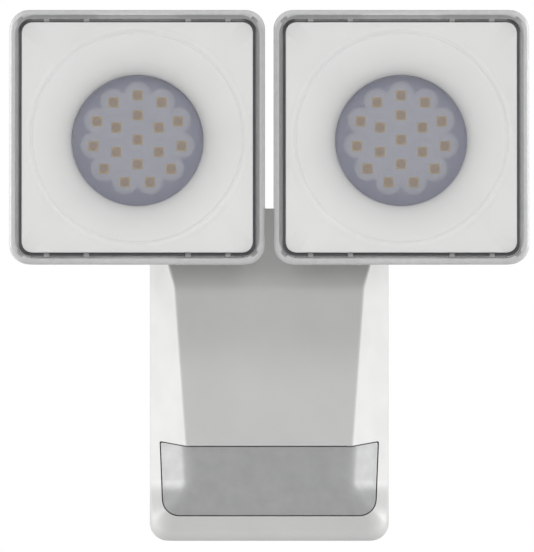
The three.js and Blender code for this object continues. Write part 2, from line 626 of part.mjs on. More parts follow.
function makeSensor() {
  const { halfWidth, halfHeight, depth, aboveWindowMiddle } = SENSOR_BOARD;
  const middleZ = (windowTop + windowBottom) / 2 + aboveWindowMiddle;
  const z = [middleZ - halfHeight, middleZ + halfHeight];
  const front = depth + BOARD_THICKNESS;
  place("sensor_board", block([-halfWidth, halfWidth], [depth, front], z), materials.greenBoard);

  const seat = front + GAP;
  const can = peg(PYRO_RADIUS, 0, middleZ, seat, seat + PYRO_LENGTH, 24);
  const brim = peg(PYRO_RADIUS + PYRO_BRIM.width, 0, middleZ, seat, seat + PYRO_BRIM.thickness, 24);
  const eye = block(
    [-PYRO_EYE.halfWidth, PYRO_EYE.halfWidth],
    [seat + PYRO_LENGTH - PYRO_EYE.depth, seat + PYRO_LENGTH + 1],
    [middleZ - PYRO_EYE.halfHeight, middleZ + PYRO_EYE.halfHeight],
  );
  place("pyro_sensor", joined(can, brim).subtract(eye), materials.steel);

  // An open tray round the board's back and sides, which keeps stray light off the sensor.
  const inner = { x: halfWidth + GAP, z: halfHeight + GAP };
  const outer = { x: inner.x + SENSOR_HOLDER_WALL, z: inner.z + SENSOR_HOLDER_WALL };
  const back = depth - GAP - SENSOR_HOLDER_WALL;
  const box = (half, depths) => block([-half.x, half.x], depths, [middleZ - half.z, middleZ + half.z]);
  const tray = box(outer, [back, back + SENSOR_HOLDER_DEPTH]).subtract(
    box(inner, [back + SENSOR_HOLDER_WALL, back + SENSOR_HOLDER_DEPTH + 1]),
  );
  place("sensor_holder", tray, materials.darkInside);
}

function makeDials() {
  const boardZ = bodyBottom + CONTROL_BOARD_HEIGHT;
  const reach = DIAL_SPACING + DIAL_RADIUS + CONTROL_BOARD_BORDER;
  const depths = [DIAL_AXIS_DEPTH - DIAL_RADIUS - CONTROL_BOARD_BORDER, DIAL_AXIS_DEPTH + POT_RADIUS];
  let board = block([-reach, reach], depths, [boardZ, boardZ + BOARD_THICKNESS]);
  for (const dial of dials) {
    board = board.add(upright(POT_RADIUS, dial.x, DIAL_AXIS_DEPTH, boardZ - POT_HEIGHT, boardZ + JOIN, 16));
  }
  for (const dial of dials) {
    const socket = upright(
      DIAL_SHAFT_RADIUS + GAP, dial.x, DIAL_AXIS_DEPTH, boardZ - POT_HEIGHT - 1, boardZ + 3, 12,
    );
    board = board.subtract(socket);
    const low = bodyBottom + GAP;
    const knobTop = boardZ - POT_HEIGHT - GAP;
    const knob = upright(DIAL_RADIUS, dial.x, DIAL_AXIS_DEPTH, low, Math.min(low + DIAL_HEIGHT, knobTop), 20);
    const shaft = upright(DIAL_SHAFT_RADIUS, dial.x, DIAL_AXIS_DEPTH, low + 1, boardZ + BOARD_THICKNESS, 12);
    const slot = block(
      [dial.x - DIAL_SLOT.width / 2, dial.x + DIAL_SLOT.width / 2],
      [DIAL_AXIS_DEPTH - DIAL_SLOT.halfLength, DIAL_AXIS_DEPTH + DIAL_SLOT.halfLength],
      [low - 1, low + DIAL_SLOT.depth],
    );
    place(`${dial.name}_dial`, joined(knob, shaft).subtract(slot), materials.dialGrey);
  }
  place("control_board", board, materials.greenBoard);
}

// ---------------------------------------------------------------- swivel arm

// side is -1 for the left head and 1 for the right.
function makeArm(side, word) {
  const x = side * SWIVEL_X;
  const knuckleX = side * headX;
  const hubLow = bodyTop + GAP;
  const hubTop = hubLow + HUB_HEIGHT;

  const curve = new THREE.CubicBezierCurve3(
    new THREE.Vector3(x, -swivelDepth, hubTop - ARM_ROOT),
    new THREE.Vector3(x, -swivelDepth, tiltZ + ARM_RADIUS),
    new THREE.Vector3(knuckleX, -(swivelDepth + TILT_DEPTH) / 2, tiltZ),
    new THREE.Vector3(knuckleX, -TILT_DEPTH, tiltZ),
  );
  const tubeOf = (radius, sides) => {
    const section = new THREE.Shape().absarc(0, 0, radius, 0, 2 * Math.PI);
    const settings = { steps: 7, extrudePath: curve, curveSegments: sides / 2 };
    return solid(new THREE.ExtrudeGeometry(section, settings));
  };

  const knuckle = crossbar(KNUCKLE_RADIUS, knuckleX - KNUCKLE_HALF_WIDTH, knuckleX + KNUCKLE_HALF_WIDTH,
    TILT_DEPTH, tiltZ, 20);
  const hub = upright(HUB_RADIUS, x, swivelDepth, hubLow, hubTop - 1, 20);
  const crown = upright(HUB_RADIUS, x, swivelDepth, hubTop - 1, hubTop, 20, HUB_RADIUS - 1);
  const stem = upright(STEM_RADIUS, x, swivelDepth, bodyTop - STEM_LENGTH, hubLow + 1, 16);
  const groove = ringUpright(
    O_RING_RADIUS - O_RING_SECTION / 2 - GAP, O_RING_RADIUS + O_RING_SECTION / 2 + GAP,
    x, swivelDepth, hubLow - 1, hubLow + O_RING_SECTION + GAP, 20,
  );
  const slot = block(
    [knuckleX - KNUCKLE_SLOT / 2, knuckleX + KNUCKLE_SLOT / 2],
    [TILT_DEPTH - BOLT_RADIUS - RUNNING_GAP, TILT_DEPTH + KNUCKLE_RADIUS + 1],
    [tiltZ - KNUCKLE_RADIUS - 1, tiltZ + KNUCKLE_RADIUS + 1],
  );
  const boltHole = crossbar(BOLT_RADIUS + RUNNING_GAP, knuckleX - HUB_RADIUS, knuckleX + HUB_RADIUS,
    TILT_DEPTH, tiltZ, 20);
  const leadWay = joined(
    tubeOf(STEM_BORE, 6),
    upright(STEM_BORE, x, swivelDepth, bodyTop - STEM_LENGTH - 1, hubTop, 12),
  );
  const arm = joined(tubeOf(ARM_RADIUS, 10), knuckle, hub, crown, stem)
    .subtract(groove)
    .subtract(slot)
    .subtract(boltHole)
    .subtract(leadWay);
  place(`${word}_swivel_arm`, arm, materials.whiteCasting);

  const seal = [];
  for (let angle = 0; angle < 360; angle += 60) {
    const section = O_RING_SECTION / 2;
    seal.push([O_RING_RADIUS + section * Math.cos(angle * DEGREE), section * Math.sin(angle * DEGREE)]);
  }
  const ringZ = hubLow + O_RING_SECTION / 2;
  const oRing = turned(seal, 16).rotateX(Math.PI / 2).translate(x, -swivelDepth, ringZ);
  place(`${word}_swivel_seal`, solid(oRing), materials.blackRubber);

  const ceiling = bodyTop - BODY_WALL - GAP;
  const washerLow = ceiling - WASHER_THICKNESS;
  const bore = STEM_RADIUS + RUNNING_GAP;
  const washer = ringUpright(bore, SWIVEL_NUT_RADIUS, x, swivelDepth, washerLow, ceiling, 20);
  place(`${word}_swivel_washer`, washer, materials.steel);
  const nutTop = washerLow - GAP;
  const nut = upright(SWIVEL_NUT_RADIUS, x, swivelDepth, nutTop - SWIVEL_NUT_HEIGHT, nutTop, 6).subtract(
    upright(STEM_RADIUS + GAP, x, swivelDepth, nutTop - 2 * SWIVEL_NUT_HEIGHT, nutTop + 1, 16),
  );
  place(`${word}_swivel_nut`, nut, materials.steel);
}

// ---------------------------------------------------------------- head casting and tilt hinge

// A rounded square that changes its size with depth, as the hull of its outlines: [half size, depth] each.
function squareHull(x, rings, cornerRadius) {
  const points = rings.flatMap(([half, depth]) =>
    roundedSquare(half, cornerRadius, x, headZ).getPoints(3).map((p) => new THREE.Vector3(p.x, -depth, p.y)),
  );
  return solid(new ConvexGeometry(points));
}

// The head's outside behind the cover: nearly straight, then tapering to its back, moved in by inset.
function headTaper(x, inset, backDepth, frontDepth) {
  const half = HEAD_SIZE / 2 - COVER_DRAFT - inset;
  const rings = [
    [half - HEAD_BACK_TAPER, backDepth],
    [half - COVER_DRAFT / 2, HEAD_TAPER_DEPTH],
    [half, frontDepth],
  ];
  return squareHull(x, rings, HEAD_CORNER_RADIUS - Math.min(inset, HEAD_CORNER_RADIUS - 1));
}

function makeHeadHousing(side, word, head) {
  const x = side * headX;
  const rimDepth = COVER_SKIRT_DEPTH - GAP;
  const floor = HEAD_BACK_DEPTH + HEAD_WALL;
  let tray = headTaper(x, 0, HEAD_BACK_DEPTH, rimDepth).subtract(headTaper(x, HEAD_RIM, floor, rimDepth + 5));
  for (const up of [-1, 1]) {
    const edge = headZ + up * (HEAD_SIZE / 2 - COVER_DRAFT);
    tray = tray.subtract(
      block(
        [x - LATCH_HALF_WIDTH, x + LATCH_HALF_WIDTH],
        [rimDepth - LATCH_RECESS, rimDepth + 1],
        [Math.min(edge - up, edge - up * HEAD_WALL), Math.max(edge - up, edge - up * HEAD_WALL)],
      ),
    );
  }

  // Cooling fins: tall ones beside the knuckle, short ones above it.
  const finReach = HEAD_SIZE / 2 - HEAD_BACK_TAPER - FIN_MARGIN;
  const pocket = KNUCKLE_HALF_WIDTH + EAR_THICKNESS + BOLT_HEAD_THICKNESS + FIN_BOLT_MARGIN;
  const finDepth = [HEAD_BACK_DEPTH - FIN_HEIGHT, HEAD_BACK_DEPTH + 1];
  for (let step = -Math.floor(finReach / FIN_PITCH); step <= finReach / FIN_PITCH; step += 1) {
    const offset = step * FIN_PITCH;
    const low = Math.abs(offset) > pocket ? headZ - finReach : tiltZ + KNUCKLE_RADIUS + FIN_MARGIN;
    const finX = [x + offset - FIN_THICKNESS / 2, x + offset + FIN_THICKNESS / 2];
    tray = tray.add(block(finX, finDepth, [low, headZ + finReach]));
  }

  for (const ear of [-1, 1]) {
    const near = x + ear * (KNUCKLE_HALF_WIDTH + GAP);
    const far = near + ear * EAR_THICKNESS;
    const earX = [Math.min(near, far), Math.max(near, far)];
    const web = block(earX, [TILT_DEPTH, HEAD_BACK_DEPTH + 1], [tiltZ - EAR_RADIUS, tiltZ + EAR_RADIUS]);
    tray = joined(tray, web, crossbar(EAR_RADIUS, ...earX, TILT_DEPTH, tiltZ, 20));
  }
  const boltHole = crossbar(BOLT_RADIUS + GAP, x - 2 * HUB_RADIUS, x + 2 * HUB_RADIUS, TILT_DEPTH, tiltZ, 20);
  tray = tray.subtract(boltHole);

  // A round seat takes the light board's heat, with a slot in it for the lead.
  const seat = peg(LED_SEAT_RADIUS, x, headZ, floor - 1, floor + LED_SEAT_HEIGHT, 28).subtract(
    block(
      [x - GLAND_RADIUS - 2, x + GLAND_RADIUS + 2],
      [floor, floor + 2 * LED_SEAT_HEIGHT],
      [headZ - 2 * LED_SEAT_RADIUS, tiltZ + GLAND_RADIUS + 2],
    ),
  );
  tray = tray.add(seat).subtract(peg(GLAND_RADIUS, x, tiltZ, HEAD_BACK_DEPTH - 1, floor + 1, 20));
  for (const screw of boardScrews(x)) {
    tray = tray.subtract(peg(BOARD_SCREW_RADIUS + GAP, screw.x, screw.z, floor - 1.5, ledBoardDepth, 12));
  }
  place(`${word}_head_housing`, tray, materials.whiteCasting, head);
}

const boardScrews = (x) => [-1, 1].map((end) => ({ x: x + end * BOARD_SCREW_RING, z: headZ }));

function makeTiltBolt(side, word, head) {
  const x = side * headX;
  const earOuter = KNUCKLE_HALF_WIDTH + GAP + EAR_THICKNESS + GAP;
  const washerX = [x + earOuter, x + earOuter + WASHER_THICKNESS];
  const washer = crossbar(BOLT_HEAD_RADIUS + 1, ...washerX, TILT_DEPTH, tiltZ, 24);
  const shankHole = crossbar(BOLT_RADIUS + GAP, x, x + 2 * earOuter, TILT_DEPTH, tiltZ, 20);
  place(`${word}_tilt_washer`, washer.subtract(shankHole), materials.steel, head);

  const headFrom = x + earOuter + WASHER_THICKNESS + GAP;
  const hexagon = crossbar(BOLT_HEAD_RADIUS, headFrom, headFrom + BOLT_HEAD_THICKNESS, TILT_DEPTH, tiltZ, 6);
  const tip = x - earOuter - BOLT_HEAD_THICKNESS - 1;
  const shank = crossbar(BOLT_RADIUS, tip, headFrom + 1, TILT_DEPTH, tiltZ, 20);
  place(`${word}_tilt_bolt`, joined(hexagon, shank), materials.steel, head);

  const nutX = [x - earOuter - BOLT_HEAD_THICKNESS, x - earOuter];
  const nut = crossbar(BOLT_HEAD_RADIUS, ...nutX, TILT_DEPTH, tiltZ, 6);
  const bore = crossbar(BOLT_RADIUS + GAP, x - 2 * earOuter, x, TILT_DEPTH, tiltZ, 20);
  place(`${word}_tilt_nut`, nut.subtract(bore), materials.steel, head);
}

function makeLeadGland(side, word, head) {
  const neck = GLAND_RADIUS - GAP;
  const back = HEAD_BACK_DEPTH - GAP;
  const front = HEAD_BACK_DEPTH + HEAD_WALL + GAP;
  const flange = GLAND_RADIUS + GLAND_FLANGE.width;
  const barb = GLAND_RADIUS + GLAND_BARB.width;
  const profile = [
    [GLAND_BORE, back - GLAND_FLANGE.thickness], [flange, back - GLAND_FLANGE.thickness], [flange, back],
    [neck, back], [neck, front], [barb, front], [barb - GLAND_BARB.taper, front + GLAND_BARB.length],
    [GLAND_BORE, front + GLAND_BARB.length],
  ];
  const made = turned(profile.map(([radius, depth]) => [radius, -depth]), 14);
  place(`${word}_lead_gland`, solid(made.translate(side * headX, 0, tiltZ)), materials.blackRubber, head);
}

// ---------------------------------------------------------------- cover, seal, reflector and light engine

function makeCover(side, word, head) {
  const x = side * headX;
  const half = HEAD_SIZE / 2;
  const hollowHalf = half - COVER_SKIRT;
  const hollow = roundedSquare(hollowHalf, HEAD_CORNER_RADIUS - COVER_SKIRT, x, headZ);
  const rings = [
    [half - COVER_DRAFT, COVER_SKIRT_DEPTH],
    [half, HEAD_FRONT_DEPTH - COVER_EDGE],
    [half - COVER_EDGE, HEAD_FRONT_DEPTH],
  ];
  let cover = squareHull(x, rings, HEAD_CORNER_RADIUS).subtract(
    slab(hollow, COVER_SKIRT_DEPTH - 1, paneBackDepth),
  );
  for (const up of [-1, 1]) {
    for (const offset of COVER_TAB_PLACES.flatMap((away) => [-away, away])) {
      const inner = headZ + up * (hollowHalf - COVER_GROOVE + GAP);
      const outer = headZ + up * (hollowHalf + 1);
      const tabX = [x + offset - COVER_TAB_WIDTH / 2, x + offset + COVER_TAB_WIDTH / 2];
      const tabZ = [Math.min(inner, outer), Math.max(inner, outer)];
      cover = cover.add(block(tabX, [COVER_SKIRT_DEPTH + SEAL_THICKNESS + GAP, paneBackDepth + 1], tabZ));
    }
  }
  place(`${word}_front_cover`, cover, materials.clearCover, head);
}

// A flat seal below the groove, which the cover presses on to the housing's rim.
function makeCoverSeal(side, word, head) {
  const x = side * headX;
  const outer = HEAD_SIZE / 2 - COVER_SKIRT - GAP;
  const back = COVER_SKIRT_DEPTH;
  const inner = DISH_RADIUS + DISH_WALL + GAP;
  const outline = roundedSquare(outer, HEAD_CORNER_RADIUS - COVER_SKIRT, x, headZ);
  const hole = roundedSquare(inner, SEAL_INNER_RADIUS, x, headZ);
  const ring = slab(outline, back, back + SEAL_THICKNESS).subtract(
    slab(hole, back - 1, back + SEAL_THICKNESS + 1),
  );
  place(`${word}_cover_seal`, ring, materials.greyRubber, head);
}

// The dish opens like a trumpet: level at its rim, steeper towards its floor, then an upright collar.
function dishProfile() {
  const frontDepth = paneBackDepth - GAP;
  const collarDepth = dishFloorDepth - DISH_WALL;
  const steps = 4;
  const face = [];
  const back = [];
  for (let i = 0; i <= steps; i += 1) {
    const angle = (1 - i / steps) * 90 * DEGREE;
    const radius = DISH_RADIUS - (DISH_RADIUS - DISH_FLOOR_RADIUS) * Math.cos(angle);
    const depth = dishFloorDepth + (frontDepth - dishFloorDepth) * Math.sin(angle);
    face.push([radius, depth]);
    back.unshift([radius + DISH_WALL * Math.cos(angle), depth - DISH_WALL * Math.sin(angle)]);
  }
  return [...face, [DISH_FLOOR_RADIUS, collarDepth], [DISH_FLOOR_RADIUS + DISH_WALL, collarDepth], ...back];
}

function makeReflector(side, word, head) {
  const x = side * headX;
  const front = paneBackDepth - GAP;
  const outline = roundedSquare(flangeHalf, FLANGE_CORNER_RADIUS, x, headZ);
  const flange = slab(outline, front - FLANGE_THICKNESS, front).subtract(
    peg(DISH_RADIUS - JOIN, x, headZ, front - 2 * FLANGE_THICKNESS, front + 1, 28),
  );
  const wall = turnedOnHead(dishProfile(), x, 28);
  place(`${word}_reflector`, joined(wall, flange), materials.reflectorWhite, head);
}

function ledPlaces() {
  const places = [[0, LED_PATTERN_RISE]];
  for (const { count, radius } of [LED_INNER_RING, LED_OUTER_RING]) {
    for (let i = 0; i < count; i += 1) {
      const angle = 90 * DEGREE + (2 * Math.PI * i) / count;
      places.push([radius * Math.cos(angle), LED_PATTERN_RISE + radius * Math.sin(angle)]);
    }
  }
  return places;
}

function makeLightEngine(side, word, head) {
  const x = side * headX;
  const front = ledBoardDepth + BOARD_THICKNESS;
  let board = peg(LED_BOARD_RADIUS, x, headZ, ledBoardDepth, front, 24);
  for (const [dx, dz] of ledPlaces()) {
    const half = LED_SIZE / 2;
    board = board.add(
      block(
        [x + dx - half, x + dx + half],
        [front - JOIN, front + LED_HEIGHT],
        [headZ + dz - half, headZ + dz + half],
      ),
    );
  }
  boardScrews(x).forEach((screw, i) => {
    board = board.subtract(peg(BOARD_SCREW_RADIUS + GAP, screw.x, screw.z, ledBoardDepth - 1, front + 1, 12));
    const seat = front + GAP;
    const cap = peg(BOARD_SCREW_HEAD.radius, screw.x, screw.z, seat, seat + BOARD_SCREW_HEAD.height, 16);
    const tip = HEAD_BACK_DEPTH + HEAD_WALL - 1;
    const shank = peg(BOARD_SCREW_RADIUS, screw.x, screw.z, tip, front + 1, 12);
    place(`${word}_board_screw_${i + 1}`, joined(cap, shank), materials.steel, head);
  });
  place(`${word}_led_board`, board, materials.ledBoard, head);

  // One clear moulding covers the lights, and its raised part has a petal for each outer light.
  const discFront = lensBackDepth + LENS_DISC_THICKNESS;
  const petalFront = discFront + LENS_PETAL_HEIGHT;
  let lens = peg(LENS_DISC_RADIUS, x, headZ, lensBackDepth, discFront, 28);
  const raised = [discFront - JOIN, petalFront];
  lens = lens.add(peg(LED_OUTER_RING.radius, x, headZ + LED_PATTERN_RISE, ...raised, 22));
  ledPlaces().forEach(([dx, dz], i) => {
    if (i > LED_INNER_RING.count) {
      lens = lens.add(peg(LENS_PETAL_RADIUS, x + dx, headZ + dz, ...raised, 8));
    }
  });
  place(`${word}_lens_array`, lens, materials.clearLens, head);
}

makeBackPlate();
makeHousingGasket();
makeFrontHousing();
makeWindow();
makeSensor();
makeDials();
makeDriver();
makeTerminalBlock();
makeCableGrommet();
makeHousingScrews();
for (const [side, word] of [[-1, "left"], [1, "right"]]) {
  const head = headGroup(side);
  makeArm(side, word);
  makeHeadHousing(side, word, head);
  makeTiltBolt(side, word, head);
  makeLeadGland(side, word, head);
  makeCover(side, word, head);
  makeCoverSeal(side, word, head);
  makeReflector(side, word, head);
  makeLightEngine(side, word, head);
}

export default floodlight;
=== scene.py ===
# %% [markdown]
# # A twin-head floodlight with a motion sensor
# The real lamp hangs on an outside wall. A white moulded body holds the sensor, and two square heads stand
# in front of it on bent arms, each with a clear cover, a white bowl and a round light board. The packed
# model comes first, because every surface below is drawn round it in the same frame.

# %% Load the frame
import json
import math

import bmesh
import bpy
import numpy as np
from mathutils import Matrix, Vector


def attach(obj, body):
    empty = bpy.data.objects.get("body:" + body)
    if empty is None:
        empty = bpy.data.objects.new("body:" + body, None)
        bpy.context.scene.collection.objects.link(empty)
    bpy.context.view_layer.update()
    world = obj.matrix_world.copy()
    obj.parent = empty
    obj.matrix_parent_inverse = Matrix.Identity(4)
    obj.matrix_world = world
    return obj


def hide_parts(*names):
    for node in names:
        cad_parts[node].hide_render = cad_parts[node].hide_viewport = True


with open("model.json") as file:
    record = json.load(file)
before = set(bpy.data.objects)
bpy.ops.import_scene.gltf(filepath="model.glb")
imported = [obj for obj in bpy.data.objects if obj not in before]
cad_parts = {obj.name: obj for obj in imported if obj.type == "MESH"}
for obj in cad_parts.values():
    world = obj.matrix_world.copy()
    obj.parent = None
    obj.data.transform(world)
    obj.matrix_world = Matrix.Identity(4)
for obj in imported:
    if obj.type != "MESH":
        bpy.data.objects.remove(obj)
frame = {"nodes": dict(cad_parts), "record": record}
bpy.context.view_layer.update()
scene = bpy.context.scene
MM = 0.001

# %% [markdown]
# ## Camera
# The lamp is seen straight on from far away, so its sides stay parallel. A very long lens does that, and it
# leaves distances in the picture nearly free of perspective. The picture is 534 wide and 552 high, and the
# sensor's width lies along the longer side.

# %% Camera
VIEW_HEIGHT = 552
MM_PER_STEP = 0.4  # of the object, for each of those steps, at the plane in focus
FOCUS_DEPTH = 85  # that plane's distance from the wall, between the body's front and the covers
LENS, SENSOR = 1500, 36
VIEW_CENTRE_X, VIEW_CENTRE_Z = -0.92, 39.6

camera = bpy.data.objects.new("camera", bpy.data.cameras.new("camera"))
scene.collection.objects.link(camera)
camera.data.lens, camera.data.sensor_width = LENS, SENSOR
away = LENS * VIEW_HEIGHT * MM_PER_STEP / SENSOR
camera.location = Vector((VIEW_CENTRE_X, -FOCUS_DEPTH - away, VIEW_CENTRE_Z)) * MM
camera.rotation_euler = (math.radians(90), 0, 0)
camera.data.clip_end = 40
scene.camera = camera
print("camera distance in metres", round(away * MM, 2))

# %% [markdown]
# ## Colours and nodes
# Colours are written as the hex values that a screen shows. Blender works in linear light, so one function
# turns them. A material is a tree of nodes, and one small function adds a node with its settings and links.

# %% Colours and nodes
def linear(code):
    """A hex colour as linear red, green, blue and alpha.

    Each value v turns to v / 12.92 when dark, and to ((v + 0.055) / 1.055) ** 2.4 above that.
    """
    values = [int(code[i : i + 2], 16) / 255 for i in (1, 3, 5)]
    return [v / 12.92 if v <= 0.04045 else ((v + 0.055) / 1.055) ** 2.4 for v in values] + [1]


def add(tree, kind, inputs=(), **settings):
    """Adds a node. inputs gives a plain value or another node's socket for each input, by name or number."""
    node = tree.nodes.new(kind)
    for name, value in settings.items():
        setattr(node, name, value)
    for name, value in dict(inputs).items():
        if isinstance(value, bpy.types.NodeSocket):
            tree.links.new(value, node.inputs[name])
        else:
            node.inputs[name].default_value = value
    return node


def new_finish(name, preview):
    """An empty node material with a flat colour for the solid view, and its Object coordinates."""
    material = bpy.data.materials.new(name)
    material.use_nodes = True
    material.diffuse_color = linear(preview)
    tree = material.node_tree
    tree.nodes.clear()
    return material, tree, add(tree, "ShaderNodeTexCoord").outputs["Object"]


def noise(tree, place, size_mm, detail=2.0):
    """A noise whose lumps are about size_mm across, from 0 to 1."""
    inputs = {"Vector": place, "Scale": 1 / (size_mm * MM), "Detail": detail, "Roughness": 0.55}
    return add(tree, "ShaderNodeTexNoise", inputs).outputs[0]


def ramp(tree, value, low, high, to_low, to_high):
    """The value carried from between low and high to between to_low and to_high."""
    numbers = {"Value": value, "From Min": low, "From Max": high, "To Min": to_low, "To Max": to_high}
    return add(tree, "ShaderNodeMapRange", numbers).outputs[0]


def mixed(tree, share, colour, other):
    """One colour turning into another as share goes from 0 to 1."""
    ends = {"Factor": share, 6: linear(colour), 7: linear(other)}
    return add(tree, "ShaderNodeMix", ends, data_type="RGBA").outputs[2]


def bumped(tree, height, depth_mm, strength=0.6):
    """A normal that ripples as if the surface rose by depth_mm where height is 1."""
    inputs = {"Height": height, "Distance": depth_mm * MM, "Strength": strength}
    return add(tree, "ShaderNodeBump", inputs).outputs[0]


def show(tree, shader):
    """Gives a shader to the material's output."""
    add(tree, "ShaderNodeOutputMaterial", {"Surface": shader.outputs[0]})


# %% [markdown]
# ## Finishes
# The lamp has few materials, and each is named for what the real one is. Moulded plastic has a fine spark-
# eroded grain and a slightly cloudy tone. Die-cast aluminium with a powder coat has a softer ripple of
# about a millimetre. Both come from noise on Object coordinates, in real sizes, through a bump node. The
# real grain is about 0.1 mm, too fine to show here, so it is drawn at three times that.

# %% A grained finish
def grained(name, colour, shade, rough, grain_mm=0.35, depth_mm=0.02, cloud_mm=22, **fixed):
    """Two close colours mixed by a cloudy noise, a roughness that follows it, and a bump of grain_mm lumps.

    fixed gives plain values for the shader's own sockets.
    """
    material, tree, place = new_finish(name, colour)
    cloud = noise(tree, place, cloud_mm, 3.0)
    inputs = {
        "Base Color": mixed(tree, ramp(tree, cloud, 0.3, 0.7, 0, 1), colour, shade),
        "Roughness": ramp(tree, cloud, 0.3, 0.7, rough - 0.05, rough + 0.05),
        "Normal": bumped(tree, noise(tree, place, grain_mm), depth_mm),
    }
    inputs.update({socket.replace("_", " "): value for socket, value in fixed.items()})
    show(tree, add(tree, "ShaderNodeBsdfPrincipled", inputs))
    return material


# UV-stable ASA, moulded: a satin white whose index is about 1.5.
white_asa = grained("white_moulded_asa", "#c8c8c7", "#c4c4c3", 0.46, IOR=1.5)
# Die-cast aluminium under a white powder coat, which flows into a faint orange peel.
white_powder_coat = grained("white_powder_coat", "#cbcbca", "#c5c5c4", 0.5, 0.9, 0.05, 30)
# Matt white polycarbonate, filled so that it scatters light back evenly.
white_bowl = grained("matt_white_polycarbonate", "#f8f8f7", "#f4f4f3", 0.62, 0.5, 0.015, 26)
# Black polycarbonate inside, dull so that it gives the sensor no stray light.
dark_inside = grained("dark_moulded_plastic", "#5a5c5e", "#525456", 0.7)
# EPDM and silicone rubbers have a dry, slightly dusty skin.
grey_rubber = grained("grey_silicone_rubber", "#77787a", "#6c6d6f", 0.8, 0.5, 0.02, 8)
black_rubber = grained("black_epdm_rubber", "#2f3031", "#262728", 0.82, 0.5, 0.02, 8)
terminal_nylon = grained("white_nylon", "#e2e2de", "#dadad6", 0.5)
dial_grey = grained("grey_moulded_dial", "#8d8f91", "#868889", 0.5)
black_component = grained("black_component_resin", "#3b3b3d", "#333335", 0.6)
green_board = grained("green_solder_mask", "#2f6b45", "#2a6240", 0.42, 0.6, 0.01, 5)

# %% [markdown]
# Zinc-plated steel is a metal, so its colour is its reflection. The plating has fine streaks from rolling,
# which a noise stretched along one direction draws.

# %% Zinc-plated steel
def plated_steel():
    """A metal whose roughness streaks along X, from a noise squeezed tenfold the other ways."""
    material, tree, place = new_finish("zinc_plated_steel", "#b9bbbd")
    squeezed = add(tree, "ShaderNodeMapping", {"Vector": place, "Scale": (1, 8, 8)}).outputs[0]
    streaks = noise(tree, squeezed, 4, 4.0)
    inputs = {
        "Base Color": mixed(tree, streaks, "#c2c4c6", "#a9abae"),
        "Metallic": 1.0,
        "Roughness": ramp(tree, streaks, 0.3, 0.7, 0.26, 0.42),
        "Normal": bumped(tree, streaks, 0.01, 0.4),
    }
    show(tree, add(tree, "ShaderNodeBsdfPrincipled", inputs))
    return material


steel = plated_steel()

# %% [markdown]
# Clear plastics let light straight through and shine where they are seen edge-on. A solid piece of real
# glass would need many bounces of light, so the pane is a Transparent shader under a thin gloss, by
# Fresnel's law. Its thick edge gathers light and scatters it, so it is a greyer, cloudier mix of the same
# polycarbonate.

# %% Clear finishes
STRAIGHT_ON_GLOSS = 0.03  # r as it is used


def clear_pane():
    """Transparent under a gloss whose share follows Schlick's formula: r + (1 - r) facing^5.

    Facing is 0 straight on and 1 edge-on, the same from both sides of the pane. Polycarbonate's r is 0.05.
    It is set lower, so that the white surround's reflection stays faint.
    """
    material, tree, place = new_finish("clear_polycarbonate", "#eef0f1")
    facing = add(tree, "ShaderNodeLayerWeight", {"Blend": 0.5}).outputs["Facing"]
    fifth = add(tree, "ShaderNodeMath", {0: facing, 1: 5.0}, operation="POWER").outputs[0]
    share = ramp(tree, fifth, 0, 1, STRAIGHT_ON_GLOSS, 1.0)
    through = add(tree, "ShaderNodeBsdfTransparent", {"Color": linear("#fdfdfd")})
    waves = bumped(tree, noise(tree, place, 14), 0.02, 0.3)
    gloss = add(tree, "ShaderNodeBsdfGlossy", {"Roughness": 0.06, "Normal": waves})
    show(tree, add(tree, "ShaderNodeMixShader", {0: share, 1: through.outputs[0], 2: gloss.outputs[0]}))
    return material


def cloudy(name, colour, shade, rough, alpha, cloud_mm=3):
    """A plastic that lets part of the light straight through: Principled with an Alpha below 1."""
    material, tree, place = new_finish(name, colour)
    cloud = noise(tree, place, cloud_mm)
    inputs = {
        "Base Color": mixed(tree, ramp(tree, cloud, 0.35, 0.65, 0, 1), colour, shade),
        "Roughness": ramp(tree, cloud, 0.3, 0.7, rough - 0.04, rough + 0.04),
        "IOR": 1.5,
        "Alpha": alpha,
        "Normal": bumped(tree, noise(tree, place, 0.6), 0.01, 0.4),
    }
    show(tree, add(tree, "ShaderNodeBsdfPrincipled", inputs))
    return material


clear_polycarbonate = clear_pane()
cover_edge = cloudy("cover_edge_polycarbonate", "#dcdddd", "#d5d6d6", 0.2, 0.62)
cover_tab = cloudy("cover_tab_polycarbonate", "#d2d2d2", "#cccccc", 0.3, 0.95)
# The sensor's window is milky polyethylene, which passes warmth and hides what is behind.
window_film = cloudy("milky_polyethylene", "#b2b3b3", "#acadad", 0.34, 0.8, 6)
# The light board's lenses are a hazy optical silicone. The low ring round the petals gets a much darker copy
# of the same silicone, which is painted shade from the bowl.
lens_silicone = cloudy("optical_silicone", "#f2f2f6", "#ececf1", 0.22, 0.2)
lens_rim_painted_shade = cloudy("optical_silicone_rim_painted_shade", "#9b9db0", "#9597aa", 0.2, 0.22)
# Aluminium-cored board under a grey-white solder mask, and warm phosphor over each diode.
led_mask = grained("grey_solder_mask", "#c0c2cd", "#b9bbc7", 0.45, 0.6, 0.01, 6)
led_package = grained("warm_led_package", "#c9a93e", "#bf9f36", 0.4)
phosphor = grained("warm_phosphor_gel", "#a37800", "#936c00", 0.35, 0.4, 0.02, 1.2)

FINISH_OF_SLOT = {
    "white_shell": white_asa,
    "white_casting": white_powder_coat,
    "dark_inside": dark_inside,
    "window_film": window_film,
    "clear_cover": clear_polycarbonate,
    "clear_lens": lens_silicone,
    "reflector_white": white_bowl,
    "grey_rubber": grey_rubber,
    "black_rubber": black_rubber,
    "steel": steel,
    "led_board": led_mask,
    "green_board": green_board,
    "component": black_component,
    "dial_grey": dial_grey,
}
print("finishes", len(FINISH_OF_SLOT))

# %% [markdown]
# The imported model's own nodes that stay in view get these finishes too, each by the slot that the record
# names.

